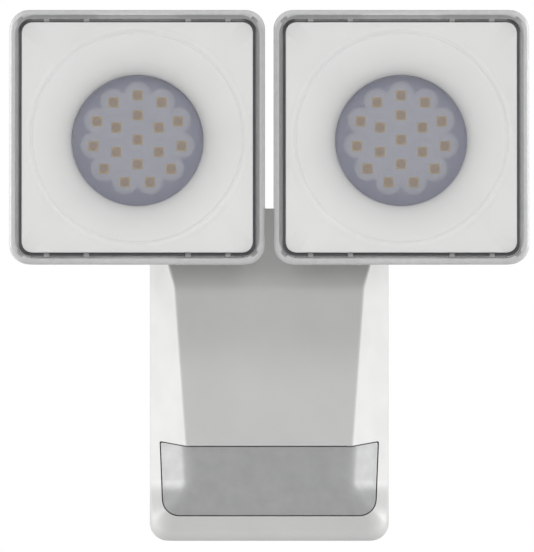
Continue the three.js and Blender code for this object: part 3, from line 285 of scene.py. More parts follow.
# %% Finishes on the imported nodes
slot_of = {row["node"]: row["material_slot"] for row in frame["record"]["subparts"]}
for name, slot in slot_of.items():
    data = frame["nodes"][name].data
    data.materials.clear()
    data.materials.append(FINISH_OF_SLOT[slot])
frame["nodes"]["terminal_block"].data.materials[0] = terminal_nylon
print("packed nodes with a finish", len(slot_of))

# %% [markdown]
# ## Solids from rings
# Nearly every piece here can be drawn as a stack of closed outlines. Each outline has the same number of
# points, so the stack is a grid, and neighbouring points make its faces. That gives full control of each
# edge's roundness. Where two shapes meet or a hole goes through, a Boolean modifier joins or cuts the
# solids, and its result is kept as a plain mesh. Sizes are in millimetres, x to the right, z up, and depth
# away from the wall.

# %% Solids from rings
def solid(rings, closed=False):
    """A closed mesh through rings x points x (x, depth, z).

    The end rings are capped, unless the last joins the first.
    """
    rings = np.asarray(rings, float)
    count, around = rings.shape[:2]
    row, column = np.meshgrid(np.arange(count if closed else count - 1), np.arange(around), indexing="ij")
    below, beside = (row + 1) % count, (column + 1) % around
    corners = [row * around + column, row * around + beside, below * around + beside, below * around + column]
    faces = np.stack(corners, -1).reshape(-1, 4).tolist()
    if not closed:
        faces += [list(range(around))[::-1], [(count - 1) * around + i for i in range(around)]]
    mesh = bpy.data.meshes.new("solid")
    mesh.from_pydata(rings.reshape(-1, 3) * (MM, -MM, MM), [], faces)
    shape = bmesh.new()
    shape.from_mesh(mesh)
    bmesh.ops.remove_doubles(shape, verts=shape.verts, dist=1e-7)
    if shape.calc_volume(signed=True) < 0:
        bmesh.ops.reverse_faces(shape, faces=shape.faces)
    shape.to_mesh(mesh)
    shape.free()
    return mesh


def worked(mesh, *steps):
    """The solid after each step, which is a word (UNION, DIFFERENCE or INTERSECT) and the other solid."""
    stock = [bpy.data.objects.new("stock", data) for data in (mesh, *(other for _, other in steps))]
    for (word, _), tool in zip(steps, stock[1:]):
        step = stock[0].modifiers.new(word, "BOOLEAN")
        step.operation, step.object, step.solver = word, tool, "MANIFOLD"
    for item in stock:
        scene.collection.objects.link(item)
    made = bpy.data.meshes.new_from_object(stock[0].evaluated_get(bpy.context.evaluated_depsgraph_get()))
    for item in stock:
        bpy.data.objects.remove(item)
    return made


def joined(*meshes):
    """One solid from several that touch or overlap."""
    return worked(meshes[0], *(("UNION", other) for other in meshes[1:]))


def cut(mesh, *tools):
    """A solid with others cut away from it."""
    return worked(mesh, *(("DIFFERENCE", tool) for tool in tools))


# %% [markdown]
# A piece is a finished mesh with its name, its finish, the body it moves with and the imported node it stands
# for. Its edges look sharp only where the surface turns by more than an angle.

# %% Pieces
def piece(name, mesh, finish, body, node, sharp=32):
    """Names a mesh, gives it a finish and declares what it rides on and stands for."""
    mesh.name = name
    mesh.materials.clear()
    for each in finish if isinstance(finish, (list, tuple)) else [finish]:
        mesh.materials.append(each)
    mesh.shade_smooth()
    mesh.set_sharp_from_angle(angle=math.radians(sharp))
    made = bpy.data.objects.new(name, mesh)
    scene.collection.objects.link(made)
    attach(made, body)
    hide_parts(node)
    print(name, "faces", len(mesh.polygons))
    return made


# %% [markdown]
# ## Outlines and simple solids
# A quarter round is drawn with the same number of steps everywhere, so outlines of different sizes match
# point by point. A small radius looks right with few steps, because the shading is smooth.

# %% Outlines and simple solids
QUARTER = np.linspace(0, math.pi / 2, 9)  # a quarter turn in eight steps


def rounded_square(half, radius, half_z=None):
    """Points (x, z) round a rectangle: each corner's centre plus radius times (cos a, sin a)."""
    half_z = half if half_z is None else half_z
    corners = []
    for turn, (sx, sz) in enumerate([(1, -1), (1, 1), (-1, 1), (-1, -1)]):
        angle = QUARTER + (turn - 1) * math.pi / 2
        corner_x = sx * (half - radius) + radius * np.cos(angle)
        corner_z = sz * (half_z - radius) + radius * np.sin(angle)
        corners.append(np.stack([corner_x, corner_z], 1))
    return np.concatenate(corners)


def prism(outline, from_depth, to_depth, edge=0.0, x=0.0, z=0.0):
    """An outline carried along the depth.

    With an edge, both ends are shrunk about the middle by a quarter round of it.
    """
    half = np.abs(outline).max(0)
    turn = 1 - np.cos(QUARTER[::2]) if edge else np.zeros(1)
    rise = np.sin(QUARTER[::2]) if edge else np.ones(1)
    depths = np.concatenate([from_depth + edge * (1 - rise)[::-1], to_depth - edge * (1 - rise)])
    insets = np.concatenate([turn[::-1], turn]) * edge
    scale = 1 - insets[:, None, None] / half
    flat = outline[None] * scale + (x, z)
    depth = np.broadcast_to(depths[:, None, None], (*flat.shape[:2], 1))
    return solid(np.concatenate([flat[..., :1], depth, flat[..., 1:]], -1))


def block(x, depth, z, edge=0.0, corner=None):
    """A box between two values of x, depth and z.

    Its edges along the depth are rounded by corner, and its two ends by edge.
    """
    half, half_z = (x[1] - x[0]) / 2, (z[1] - z[0]) / 2
    corner = corner if corner is not None else max(edge, 0.05)
    outline = rounded_square(half, min(corner, 0.98 * half, 0.98 * half_z), half_z)
    return prism(outline, *depth, edge, (x[0] + x[1]) / 2, (z[0] + z[1]) / 2)


def turned(profile, axis, place, sides=64):
    """A profile of (radius, height) turned about a line through place (x, depth, z) along x, depth or z."""
    radius, height = np.asarray(profile, float).T
    angle = np.arange(sides) / sides * 2 * math.pi
    rings = np.empty((len(radius), sides, 3))
    along = "x depth z".split().index(axis)
    first, second = [i for i in range(3) if i != along]
    rings[..., along] = height[:, None]
    rings[..., first] = radius[:, None] * np.cos(angle)
    rings[..., second] = radius[:, None] * np.sin(angle)
    return solid(rings + np.asarray(place, float), closed=radius.min() > 0)


def rod(radius, axis, place, start, end, edge=0.0, sides=64):
    """A round bar along x, depth or z, from start to end on that line, its rims rounded by edge."""
    turn = edge * (1 - np.cos(QUARTER[::2])) if edge else np.zeros(1)
    rise = edge * (1 - np.sin(QUARTER[::2])) if edge else np.zeros(1)
    radii = np.concatenate([radius - turn[::-1], radius - turn])
    heights = np.concatenate([start + rise[::-1], end - rise])
    angle = np.arange(sides) / sides * 2 * math.pi
    along = "x depth z".split().index(axis)
    first, second = [i for i in range(3) if i != along]
    rings = np.zeros((len(radii), sides, 3)) + np.asarray(place, float)
    rings[..., along] = heights[:, None]
    rings[..., first] += radii[:, None] * np.cos(angle)
    rings[..., second] += radii[:, None] * np.sin(angle)
    return solid(rings)


# %% [markdown]
# ## The body's shape
# The body is a wedge. Its front slopes forward steeply under the top edge and more gently further down. A
# slanted facet joins it to each side and runs out near the bottom into a round upright edge. A face mill
# and a file would make it so: flat faces, then small radii. Each level of the body is one outline, and its
# corner is a path whose heading turns from the side's to the front's. At the top it turns in two small
# radii with the straight facet between them. At the bottom it turns evenly along a quarter of an ellipse.

# %% Sizes of the body
BODY_WIDTH, BODY_HEIGHT = 96, 133.5
BODY_SIDE_DEPTH = 32
BODY_TOP_DEPTH = 33.4
BODY_KINK_DROP, BODY_KINK_DEPTH = 31.6, 46.4
KINK_BLEND = 1.2
FRONT_LEAN = math.radians(5.9)
FACET_ANGLE = math.radians(35)
FACET_RUNOUT = (20.5, 12)
RUNOUT_BLEND = 4  # the run-out starts and ends this much softer than a straight one would
LIP_EDGE_RADIUS = 10.5
ROLL_RADIUS, BOTTOM_CORNER_RADIUS = 5, 7.3
TOP_EDGE = 0.8
BODY_WALL = 2.4
HOUSING_BACK_DEPTH = 0.6
FACET_EDGE_RADIUS = 1.9
BODY_TOP, BODY_BOTTOM = BODY_HEIGHT / 2, -BODY_HEIGHT / 2
RUNOUT_TOP, RUNOUT_END = (BODY_BOTTOM + height for height in FACET_RUNOUT)


# %% The body's front and its outline at a height
def eased(offset, before, after, reach):
    """A line of slope before turning into one of slope after, round offset 0.

    A parabola joins them between -reach and reach.
    """
    bend = (before + after) / 2 * offset - (before - after) / (4 * reach) * (offset**2 + reach**2)
    return np.where(offset < -reach, before * offset, np.where(offset > reach, after * offset, bend))


def front_depth(z):
    """Depth of the front: steep to the kink, then the lean, then upright, each turn eased."""
    steep = (BODY_KINK_DEPTH - BODY_TOP_DEPTH) / BODY_KINK_DROP
    lean = math.tan(FRONT_LEAN)
    drop = BODY_TOP - z
    upper = BODY_KINK_DEPTH + eased(drop - BODY_KINK_DROP, steep, lean, KINK_BLEND)
    runout_drop = BODY_TOP - RUNOUT_TOP
    return upper + eased(drop - runout_drop, 0, -lean, RUNOUT_BLEND)


def turned_in(z, full, inset):
    """How far a quarter round that ends at the bottom has turned in at height z: r - sqrt(r² - below²)."""
    radius = max(full - inset, 0.5)
    below = np.clip(BODY_BOTTOM + inset + radius - z, 0, radius)
    return radius - np.sqrt(radius**2 - below**2)


def body_outlines(z, inset, back, trim, front_edge=FACET_EDGE_RADIUS):
    """Outlines (x, depth, z) at heights z, from the left side's back round to the right's.

    Every face is moved in by inset and trim.
    The corner's heading goes from 0 (along the side) to 90 degrees (along the front). Along an arc of
    radius r the path moves by r (cos a - cos a0) in x and r (sin a - sin a0) in depth.
    """
    z, trim = (np.asarray(value, float)[:, None] for value in (z, trim))
    half = BODY_WIDTH / 2 - inset - turned_in(z, BOTTOM_CORNER_RADIUS, inset) - trim
    moved = inset + turned_in(z, ROLL_RADIUS, inset) + trim
    front = front_depth(z) - moved
    shift = moved / math.sin(FACET_ANGLE)
    start_x, start_depth = half, BODY_SIDE_DEPTH + (BODY_WIDTH / 2 - half) / math.tan(FACET_ANGLE) - shift
    end_x = BODY_WIDTH / 2 - (front - BODY_SIDE_DEPTH + shift) * math.tan(FACET_ANGLE)
    length = np.maximum((start_x - end_x) / math.sin(FACET_ANGLE), 0.05)
    side_turn, front_turn = FACET_ANGLE, math.pi / 2 - FACET_ANGLE
    radius = max(FACET_EDGE_RADIUS - inset, 0.3)
    side_radius = np.minimum(radius, 0.45 * length / math.tan(side_turn / 2))
    front_radius = np.minimum(max(front_edge - inset, 0.3), 0.45 * length / math.tan(front_turn / 2))
    first = np.linspace(0, FACET_ANGLE, 7)
    second = np.linspace(FACET_ANGLE, math.pi / 2, 10)
    side_lead = side_radius * math.tan(side_turn / 2)
    front_lead = front_radius * math.tan(front_turn / 2)
    facet_x = [
        start_x + side_radius * (np.cos(first) - 1),
        end_x + front_lead * math.sin(FACET_ANGLE) + front_radius * (np.cos(second) - math.cos(FACET_ANGLE)),
    ]
    facet_depth = [
        start_depth - side_lead + side_radius * np.sin(first),
        front - front_lead * math.cos(FACET_ANGLE) + front_radius * (np.sin(second) - math.sin(FACET_ANGLE)),
    ]
    facet = np.stack([np.concatenate(facet_x, 1), np.concatenate(facet_depth, 1)], -1)
    angle = np.linspace(0, math.pi / 2, facet.shape[1])
    centre_x, centre_depth = BODY_WIDTH / 2 - LIP_EDGE_RADIUS, front_depth(z) - LIP_EDGE_RADIUS
    ellipse = np.stack(
        [
            centre_x + (half - centre_x) * np.cos(angle),
            centre_depth + (front - centre_depth) * np.sin(angle),
        ],
        -1,
    )
    runout_length = RUNOUT_TOP - RUNOUT_END + 2 * RUNOUT_BLEND
    down = np.clip((RUNOUT_TOP + RUNOUT_BLEND - z) / runout_length, 0, 1)[..., None]
    corner = facet + (ellipse - facet) * (down**2 * (3 - 2 * down))
    back_point = np.stack([half[:, 0], np.full(len(z), back)], -1)[:, None]
    right = np.concatenate([back_point, corner], 1)
    outline = np.concatenate([right * (-1, 1), right[:, ::-1]], 1)
    heights = np.broadcast_to(z[..., None], (*outline.shape[:2], 1))
    return np.concatenate([outline, heights], -1)


def body_solid(inset, back, front_edge=FACET_EDGE_RADIUS):
    """The body as a stack of outlines, from the top edge's quarter round to the roll into the underside."""
    top = BODY_TOP - inset
    edge = max(TOP_EDGE - inset / 2, 0.2)
    round_z = top - edge * (1 - np.sin(QUARTER[::-2]))
    round_trim = edge * (1 - np.cos(QUARTER[::-2]))
    rolls = [
        BODY_BOTTOM + inset + max(full - inset, 0.5) * (1 - np.sin(QUARTER))
        for full in (ROLL_RADIUS, BOTTOM_CORNER_RADIUS)
    ]
    kink = BODY_TOP - BODY_KINK_DROP + np.linspace(KINK_BLEND, -KINK_BLEND, 5)
    runout = np.linspace(RUNOUT_TOP + RUNOUT_BLEND, RUNOUT_END - RUNOUT_BLEND, 26)
    levels = np.unique(np.round(np.concatenate([kink, runout, *rolls]), 4))[::-1]
    levels = levels[np.concatenate([[True], np.diff(levels) < -0.03])]
    z = np.concatenate([round_z, levels])
    trim = np.concatenate([round_trim, np.zeros(len(levels))])
    return solid(body_outlines(z, inset, back, trim, front_edge))

# %% [markdown]
# ## Front housing
# The housing is injection-moulded with a wall of 2.4 mm, so it is the body's solid less the same solid with
# every face moved in by the wall. The window's opening, the two swivel holes, the dial holes and the screw
# holes are then cut through. The window's outline is drawn as seen from the front: its top edge is level on
# the front face and slants up on the facets.

# %% Sizes of what is cut into the housing
WINDOW_SIDE_MARGIN, WINDOW_TAPER = 3.9, 0.9
WINDOW_HEIGHT, WINDOW_TOP_RISE = 28.3, 1.8
WINDOW_BOTTOM = BODY_BOTTOM + 9.9
WINDOW_TOP = WINDOW_BOTTOM + WINDOW_HEIGHT
WINDOW_CORNER_RADIUS = 7
WINDOW_GROOVE, WINDOW_THICKNESS = 0.5, 1.6
WINDOW_EDGE_RADIUS = 10  # the film bends round the facet's edge more softly than the housing
SWIVEL_X, SWIVEL_DEPTH, SWIVEL_HOLE_RADIUS = 30, 17, 6.9
HOUSING_SCREW_X, HOUSING_SCREW_DEPTH = 32.6, 10.6
SCREW_HEAD_RADIUS, SCREW_SHANK_RADIUS = 4.2, 2.2
ON_AXIS = 0.001  # where a turned profile meets its axis, small enough to merge into one point
DIAL_X, DIAL_DEPTH, DIAL_HOLE_RADIUS = (-18, 0, 18), 24, 5.9


# %% The window's outline and the housing
def window_outline(grow):
    """Points (x, z) round the window, larger by grow: flat top, slants on the facets, round low corners."""
    radius = WINDOW_CORNER_RADIUS + grow
    outer_x = BODY_WIDTH / 2 - WINDOW_SIDE_MARGIN + grow
    low_x = outer_x - WINDOW_TAPER
    bottom, top = WINDOW_BOTTOM - grow, WINDOW_TOP + grow
    facet_width = (front_depth(WINDOW_TOP) - BODY_SIDE_DEPTH) * math.tan(FACET_ANGLE)
    flat = BODY_WIDTH / 2 - facet_width
    turn = -QUARTER[::-1]
    corner = np.stack([low_x - radius + radius * np.cos(turn), bottom + radius + radius * np.sin(turn)], 1)
    soft = 0.5  # the top's outer corners are hardly rounded
    tip_z = top + WINDOW_TOP_RISE
    tip = np.array([[outer_x, tip_z - soft], [outer_x - soft, tip_z - soft / 8]])
    right = np.concatenate([corner, tip, [[flat, top]]])
    return np.concatenate([right, right[::-1] * (-1, 1)])


def window_column(grow):
    """The window's outline carried through the whole body's front."""
    return prism(window_outline(grow), BODY_SIDE_DEPTH / 2, 2 * BODY_KINK_DEPTH)


def body_shell(outer_inset, inner_inset, front_edge=FACET_EDGE_RADIUS):
    """The skin between two insets of the body, open at the back."""
    outside = body_solid(outer_inset, HOUSING_BACK_DEPTH, front_edge)
    return cut(outside, body_solid(inner_inset, -HOUSING_BACK_DEPTH, front_edge))


def screw_hole(x):
    """A countersunk hole through the underside: narrow inside and wide at the surface."""
    low = BODY_BOTTOM - 0.3
    head, shank = SCREW_HEAD_RADIUS, SCREW_SHANK_RADIUS
    profile = [(ON_AXIS, low), (head, low), (head, low + 0.3), (shank, low + 2.4), (shank, low + 5)]
    profile += [(ON_AXIS, low + 5)]
    return turned(profile, "z", (x, HOUSING_SCREW_DEPTH, 0), 40)


swivel_holes = [
    rod(SWIVEL_HOLE_RADIUS, "z", (side * SWIVEL_X, SWIVEL_DEPTH, 0), BODY_TOP - 5, BODY_TOP + 2, sides=48)
    for side in (-1, 1)
]
dial_holes = [
    rod(DIAL_HOLE_RADIUS, "z", (x, DIAL_DEPTH, 0), BODY_BOTTOM - 1, BODY_BOTTOM + 5, sides=48)
    for x in DIAL_X
]
screw_holes = [screw_hole(side * HOUSING_SCREW_X) for side in (-1, 1)]
housing = cut(body_shell(0, BODY_WALL), window_column(0), *swivel_holes, *dial_holes, *screw_holes)
piece("housing_shell", housing, white_asa, "body", "front_housing", 20)

# %% [markdown]
# ## Sensor window
# The window is a milky film that lies flush in its opening. A skirt goes back round its edge, and a flange
# behind the housing's wall holds it. All three are skins of the body's own solid, kept where they meet the
# outline.

# %% Sensor window
skirt_inset = WINDOW_GROOVE + WINDOW_THICKNESS
flange_inset = BODY_WALL + 0.3
flange_back = flange_inset + WINDOW_THICKNESS
flange_width = WINDOW_SIDE_MARGIN - BODY_WALL - 0.4
film = body_shell(0.1, 0.1 + WINDOW_THICKNESS, WINDOW_EDGE_RADIUS)
pane = worked(film, ("INTERSECT", window_column(-WINDOW_GROOVE)))
border = cut(window_column(-WINDOW_GROOVE), window_column(-skirt_inset))
skirt = worked(body_shell(0.2, flange_back, WINDOW_EDGE_RADIUS), ("INTERSECT", border))
rim = cut(window_column(flange_width), window_column(-skirt_inset))
flange = worked(body_shell(flange_inset, flange_back), ("INTERSECT", rim))
piece("sensor_window", joined(pane, skirt, flange), window_film, "body", "pir_window", 20)

# %% [markdown]
# ## Heads
# Both heads are the same, so each piece is drawn level and then turned up by the rest tilt about its hinge.
# The turn moves a point by the angle in the plane of depth and height and leaves x alone.

# %% Sizes of the heads
HEAD_SIZE, HEAD_X = 102, 52.7
HEAD_Z = BODY_TOP - 26 + HEAD_SIZE / 2
HEAD_CORNER_RADIUS = 7.8
TILT_DEPTH, TILT_Z = 66, BODY_TOP + 11.1
REST_TILT = math.radians(4.8)
HEAD_BACK, HEAD_FRONT = 78, 108
COVER_BACK, PANE_BACK = 98, 105.5
COVER_SKIRT, COVER_DRAFT, COVER_EDGE = 3.5, 0.7, 2.2
HEAD_RIM_DEPTH = COVER_BACK - 0.3
SIDES = ((-1, "left"), (1, "right"))


def head_piece(side, name, mesh, finish, node, sharp=32):
    """A level head's solid, drawn about x 0, moved to its side and turned up about the hinge."""
    spots = np.empty(len(mesh.vertices) * 3, np.float32)
    mesh.vertices.foreach_get("co", spots)
    spots = spots.reshape(-1, 3) / MM
    y, z = spots[:, 1] + TILT_DEPTH, spots[:, 2] - TILT_Z
    turn = -REST_TILT
    spots[:, 0] += side * HEAD_X
    spots[:, 1] = y * math.cos(turn) - z * math.sin(turn) - TILT_DEPTH
    spots[:, 2] = y * math.sin(turn) + z * math.cos(turn) + TILT_Z
    mesh.vertices.foreach_set("co", (spots * MM).ravel())
    word = dict(SIDES)[side]
    return piece(f"{word}_{name}", mesh, finish, f"{word}_head", f"{word}_{node}", sharp)


def squares(levels, corner=HEAD_CORNER_RADIUS):
    """A solid through rounded squares round the head's middle.

    Each is given as (half size, depth) or (half size, depth, corner).
    """
    rings = []
    for level in levels:
        half, depth, radius = (*level, corner)[:3]
        flat = rounded_square(half, radius) + (0, HEAD_Z)
        rings.append(np.stack([flat[:, 0], np.full(len(flat), depth), flat[:, 1]], 1))
    return solid(rings)


# %% [markdown]
# ### Head casting
# The casting is a shallow tray that tapers to its back, where cooling fins stand. Two ears hold the tilt
# bolt. A real die-cast part has every edge broken by a small radius, so each block and bar here has round
# ends.

# %% Head casting
FIN_THICKNESS, FIN_PITCH, FIN_HEIGHT = 2, 9.6, 8
FIN_REACH = 36
EAR_NEAR, EAR_FAR, EAR_RADIUS = 9.2, 13.2, 10
SCREW_X, SCREW_RADIUS = 28.6, 1.8
CASTING_FLOOR, CASTING_WALL, CASTING_EDGE = 3, 6, 1.6
TAPER_IN, TAPER_END = 9, 92  # how far the back is drawn in, and the depth where the taper ends
RECESS_HALF, RECESS_FROM, RECESS_TO = 15.5, 47.3, 52
SEAT_RADIUS, SEAT_HEIGHT = 30, 4.6


def tapered(inset, back, front, edge=0.0):
    """The casting's outside moved in by inset: its back, with a round edge, the taper's end and the rim."""
    half = HEAD_SIZE / 2 - COVER_DRAFT - inset
    corner = max(HEAD_CORNER_RADIUS - inset, 1)
    slope = (TAPER_IN - COVER_DRAFT / 2) / (TAPER_END - HEAD_BACK)
    first = [(half - TAPER_IN, back, corner)]
    if edge:
        rises = [(edge * (1 - math.sin(a)), edge * (1 - math.cos(a))) for a in QUARTER[::2]]
        first = [(half - TAPER_IN - drawn_in + slope * rise, back + rise, corner) for drawn_in, rise in rises]
    return squares(first + [(half - COVER_DRAFT / 2, TAPER_END, corner), (half, front, corner)])


def up_or_down(up, near, far):
    """Heights at two distances from the head's middle, above it or below it, the lower one first."""
    return sorted((HEAD_Z + up * near, HEAD_Z + up * far))


def board_screw_holes(start, end):
    """The two holes for the light board's screws, from one depth to another."""
    return [rod(SCREW_RADIUS, "depth", (x, 0, HEAD_Z), start, end, sides=24) for x in (-SCREW_X, SCREW_X)]


def head_casting():
    """The tray with its latch recesses, fins, ears, seat for the light board and holes."""
    floor = HEAD_BACK + CASTING_FLOOR
    root = HEAD_BACK + 1.5  # fins, ears and feet go this far into the tray, so that they join it
    outside = tapered(0, HEAD_BACK, HEAD_RIM_DEPTH, CASTING_EDGE)
    tray = cut(outside, tapered(CASTING_WALL, floor, HEAD_RIM_DEPTH + 5))
    width, depth = (-RECESS_HALF, RECESS_HALF), (HEAD_RIM_DEPTH - 3, HEAD_RIM_DEPTH + 1)
    recesses = [block(width, depth, up_or_down(up, RECESS_FROM, RECESS_TO)) for up in (-1, 1)]
    fins = []
    for number in range(-3, 4):
        x = number * FIN_PITCH
        low = HEAD_Z - FIN_REACH if abs(number) == 3 else TILT_Z + 15
        width = (x - FIN_THICKNESS / 2, x + FIN_THICKNESS / 2)
        fins.append(block(width, (HEAD_BACK - FIN_HEIGHT, root), (low, HEAD_Z + FIN_REACH), 0.55, 0.95))
    ears = []
    for ear in (-1, 1):
        x = sorted((ear * EAR_NEAR, ear * EAR_FAR))
        place = (0, TILT_DEPTH, TILT_Z)
        ears.append(rod(EAR_RADIUS, "x", place, *x, 0.6))
        web = block(x, (TILT_DEPTH, root), (TILT_Z - EAR_RADIUS, TILT_Z + EAR_RADIUS))
        foot = block((x[0] - 1.2, x[1] + 1.2), (HEAD_BACK - 1, root), (TILT_Z - 11, TILT_Z + 11), 0.8, 1.5)
        ears += [web, foot]
    seat = rod(SEAT_RADIUS, "depth", (0, 0, HEAD_Z), floor - 1, floor + SEAT_HEIGHT, 0.4, 72)
    lead_way = block((-6, 6), (floor, floor + 9), (HEAD_Z - 60, TILT_Z + 6))
    holes = [
        rod(3.3, "x", (0, TILT_DEPTH, TILT_Z), -26, 26, sides=40),
        rod(4, "depth", (0, 0, TILT_Z), HEAD_BACK - 2, floor + 1, sides=40),
        *board_screw_holes(floor - 1.5, floor + 6),
    ]
    return cut(joined(cut(tray, *recesses), *fins, *ears, cut(seat, lead_way)), *holes)


for side, _ in SIDES:
    head_piece(side, "head_casting", head_casting(), white_powder_coat, "head_housing", 28)

# %% [markdown]
# ### Clear cover
# One clear moulding closes the head: a flat pane with a skirt that goes back round it. Small tabs in its
# groove centre it on the bowl's flange. The pane is kept fully clear, and the skirt gets the cloudy edge
# finish.

# %% Clear cover
TAB_PLACES = (-36.2, -20.3, 20.3, 36.2)
TAB_HALF, TAB_FROM, TAB_TO = 1.1, 46.45, 48.5
HOLLOW_CORNER = 5


def clear_cover():
    """The cover's outside less its hollow, with tabs joined on, and a finish number for each face."""
    half = HEAD_SIZE / 2
    front = [
        (half - COVER_EDGE * (1 - math.cos(a)), HEAD_FRONT - COVER_EDGE * (1 - math.sin(a)))
        for a in QUARTER[::2]
    ]
    back = [(half - COVER_DRAFT - 0.15, COVER_BACK), (half - COVER_DRAFT, COVER_BACK + 0.3)]
    outside = squares([*back, *front])
    hollow = squares([(half - COVER_SKIRT, COVER_BACK - 1), (half - COVER_SKIRT, PANE_BACK)], HOLLOW_CORNER)
    tab_depth = (COVER_BACK + 2.3, PANE_BACK + 1)
    tabs = [
        block((x - TAB_HALF, x + TAB_HALF), tab_depth, up_or_down(up, TAB_FROM, TAB_TO), 0, 0.3)
        for x in TAB_PLACES
        for up in (-1, 1)
    ]
    made = joined(cut(outside, hollow), *tabs)
    made.materials.append(clear_polycarbonate)
    made.materials.append(cover_edge)
    centres = np.empty(len(made.polygons) * 3, np.float32)
    made.polygons.foreach_get("center", centres)
    x, y, z = centres.reshape(-1, 3).T / MM
    reach = np.maximum(np.abs(x), np.abs(z - HEAD_Z))
    pane_faces = (reach < half - COVER_SKIRT - 0.05) & (-y > PANE_BACK - 0.05)
    tab_faces = (reach < half - COVER_SKIRT - 0.02) & (-y < PANE_BACK - 0.01) & (-y > COVER_BACK + 2)
    return made, np.where(pane_faces, 0, np.where(tab_faces, 2, 1))


for side, _ in SIDES:
    cover, finish_numbers = clear_cover()
    made = head_piece(side, "clear_cover", cover, [clear_polycarbonate, cover_edge, cover_tab], "front_cover")
    made.data.polygons.foreach_set("material_index", finish_numbers.astype(np.int32))

# %% [markdown]
# ### Cover seal
# A flat silicone ring lies under the skirt and shows as the dark line between the cover's edge and the
# bowl.

# %% Cover seal
SEAL_OUTER, SEAL_INNER, SEAL_BACK, SEAL_FRONT = 47.2, 44.7, 98, 100

for side, _ in SIDES:
    ring = cut(
        squares([(SEAL_OUTER, SEAL_BACK), (SEAL_OUTER, SEAL_FRONT)], 4.3),
        squares([(SEAL_INNER, SEAL_BACK - 1), (SEAL_INNER, SEAL_FRONT + 1)], 2),
    )
    head_piece(side, "cover_gasket", ring, grey_rubber, "cover_seal")

# %% [markdown]
# ### Bowl
# The bowl is one surface: its profile runs from a collar round the lights, opens along a quarter of an
# ellipse like a trumpet, goes over a round bead and out along the flange, then back behind. Near the middle
# each ring of the profile is a circle. At the flange's edge it is a rounded square, and between them a
# share carries one into the other.

# %% Bowl
BOWL_RADIUS, BOWL_FLOOR_RADIUS = 41.7, 26.4
BOWL_FRONT, BOWL_FLOOR, COLLAR_BACK = PANE_BACK - 0.3, 90.8, 89.2
BOWL_WALL = 1.6
FLANGE_HALF, FLANGE_CORNER = 46.15, 4.2
BEAD_FOOT_DROP = 0.5
# Radius and drop behind the front, over the bead and through the shallow dip outside it.
BEAD = [(41.8, 0.36), (41.95, 0.16), (42.15, 0.03), (42.4, 0.05), (42.7, 0.26), (43.0, 0.5), (43.4, 0.66)]
BEAD += [(43.8, 0.64), (44.3, 0.46), (44.8, 0.24), (45.2, 0.08), (45.45, 0.0)]
# Radius, drop and share of the square, round the flange's edge to its back.
FLANGE_EDGE = [(45.6, 0, 0.25), (45.9, 0, 1), (46.15, 0.25, 1), (46.15, 1.35, 1), (45.9, 1.6, 1)]
FLANGE_EDGE += [(44.9, 1.9, 0.2)]


def bowl():
    """A closed surface through rings of (radius, depth, share of the square), the last joined to the first.

    The square's point at an angle is where its rounded outline crosses that direction, found from the
    outline's own angles, so circle and square points lie on the same ray.
    """
    slope = np.linspace(0, math.radians(82), 22)
    wide, high = BOWL_RADIUS - BOWL_FLOOR_RADIUS, BOWL_FRONT - BEAD_FOOT_DROP - BOWL_FLOOR
    cosine, sine = (1 - np.cos(slope)) / (1 - math.cos(slope[-1])), np.sin(slope) / math.sin(slope[-1])
    face_radius, face_depth = BOWL_FLOOR_RADIUS + wide * cosine, BOWL_FLOOR + high * sine
    rows = [(BOWL_FLOOR_RADIUS, COLLAR_BACK, 0)]
    rows += [(r, depth, 0) for r, depth in zip(face_radius, face_depth)]
    rows += [(r, BOWL_FRONT - drop, 0) for r, drop in BEAD]
    rows += [(r, BOWL_FRONT - drop, share) for r, drop, share in FLANGE_EDGE]
    behind = zip(slope[::-3], face_radius[::-3], face_depth[::-3])
    rows += [(r + BOWL_WALL * math.cos(a), depth - BOWL_WALL * math.sin(a), 0) for a, r, depth in behind]
    rows += [(BOWL_FLOOR_RADIUS + BOWL_WALL, COLLAR_BACK, 0)]
    radius, depth, share = np.array(rows).T[..., None]
    angle = np.arange(288) / 288 * 2 * math.pi
    square = rounded_square(FLANGE_HALF, FLANGE_CORNER)
    bearing = np.arctan2(square[:, 1], square[:, 0])
    order = np.argsort(bearing)
    signed = np.where(angle > math.pi, angle - 2 * math.pi, angle)
    where = np.searchsorted(bearing[order], signed) % len(order)
    p, q = square[order][where - 1], square[order][where]
    ray = np.stack([np.cos(angle), np.sin(angle)], 1)
    edge = q - p
    crossed = p[:, 0] * edge[:, 1] - p[:, 1] * edge[:, 0]
    distance = crossed / (ray[:, 0] * edge[:, 1] - ray[:, 1] * edge[:, 0])
    grown = distance[None] * (radius / FLANGE_HALF)
    length = radius + (grown - radius) * share
    rings = np.stack(
        [length * np.cos(angle), np.broadcast_to(depth, length.shape), HEAD_Z + length * np.sin(angle)], -1
    )
    return solid(rings, closed=True)


for side, _ in SIDES:
    head_piece(side, "bowl", bowl(), white_bowl, "reflector", 40)

# %% [markdown]
# ### Light board
# Eighteen diodes sit on a round board with an aluminium core: one in the middle and rings of six and
# eleven. Each is a warm-toned package with a low dome of yellow phosphor gel.

# %% Light board
PATTERN_RISE = 0.6  # the pattern's middle lies this far above the board's
OUTER_RING = 17.8
rings = [
    (np.arange(count) / count * 2 * math.pi, radius) for count, radius in ((1, 0), (6, 9.8), (11, OUTER_RING))
]
places = np.concatenate([np.stack([-np.sin(a), np.cos(a)], 1) * radius for a, radius in rings])
LED_PLACES = places + (0, PATTERN_RISE)
BOARD_RADIUS = 32
BOARD_BACK, BOARD_FRONT = 85.9, 87.5
LENS_BACK = 88.6
PACKAGE_HALF, GEL_RADIUS = 2.05, 1.9


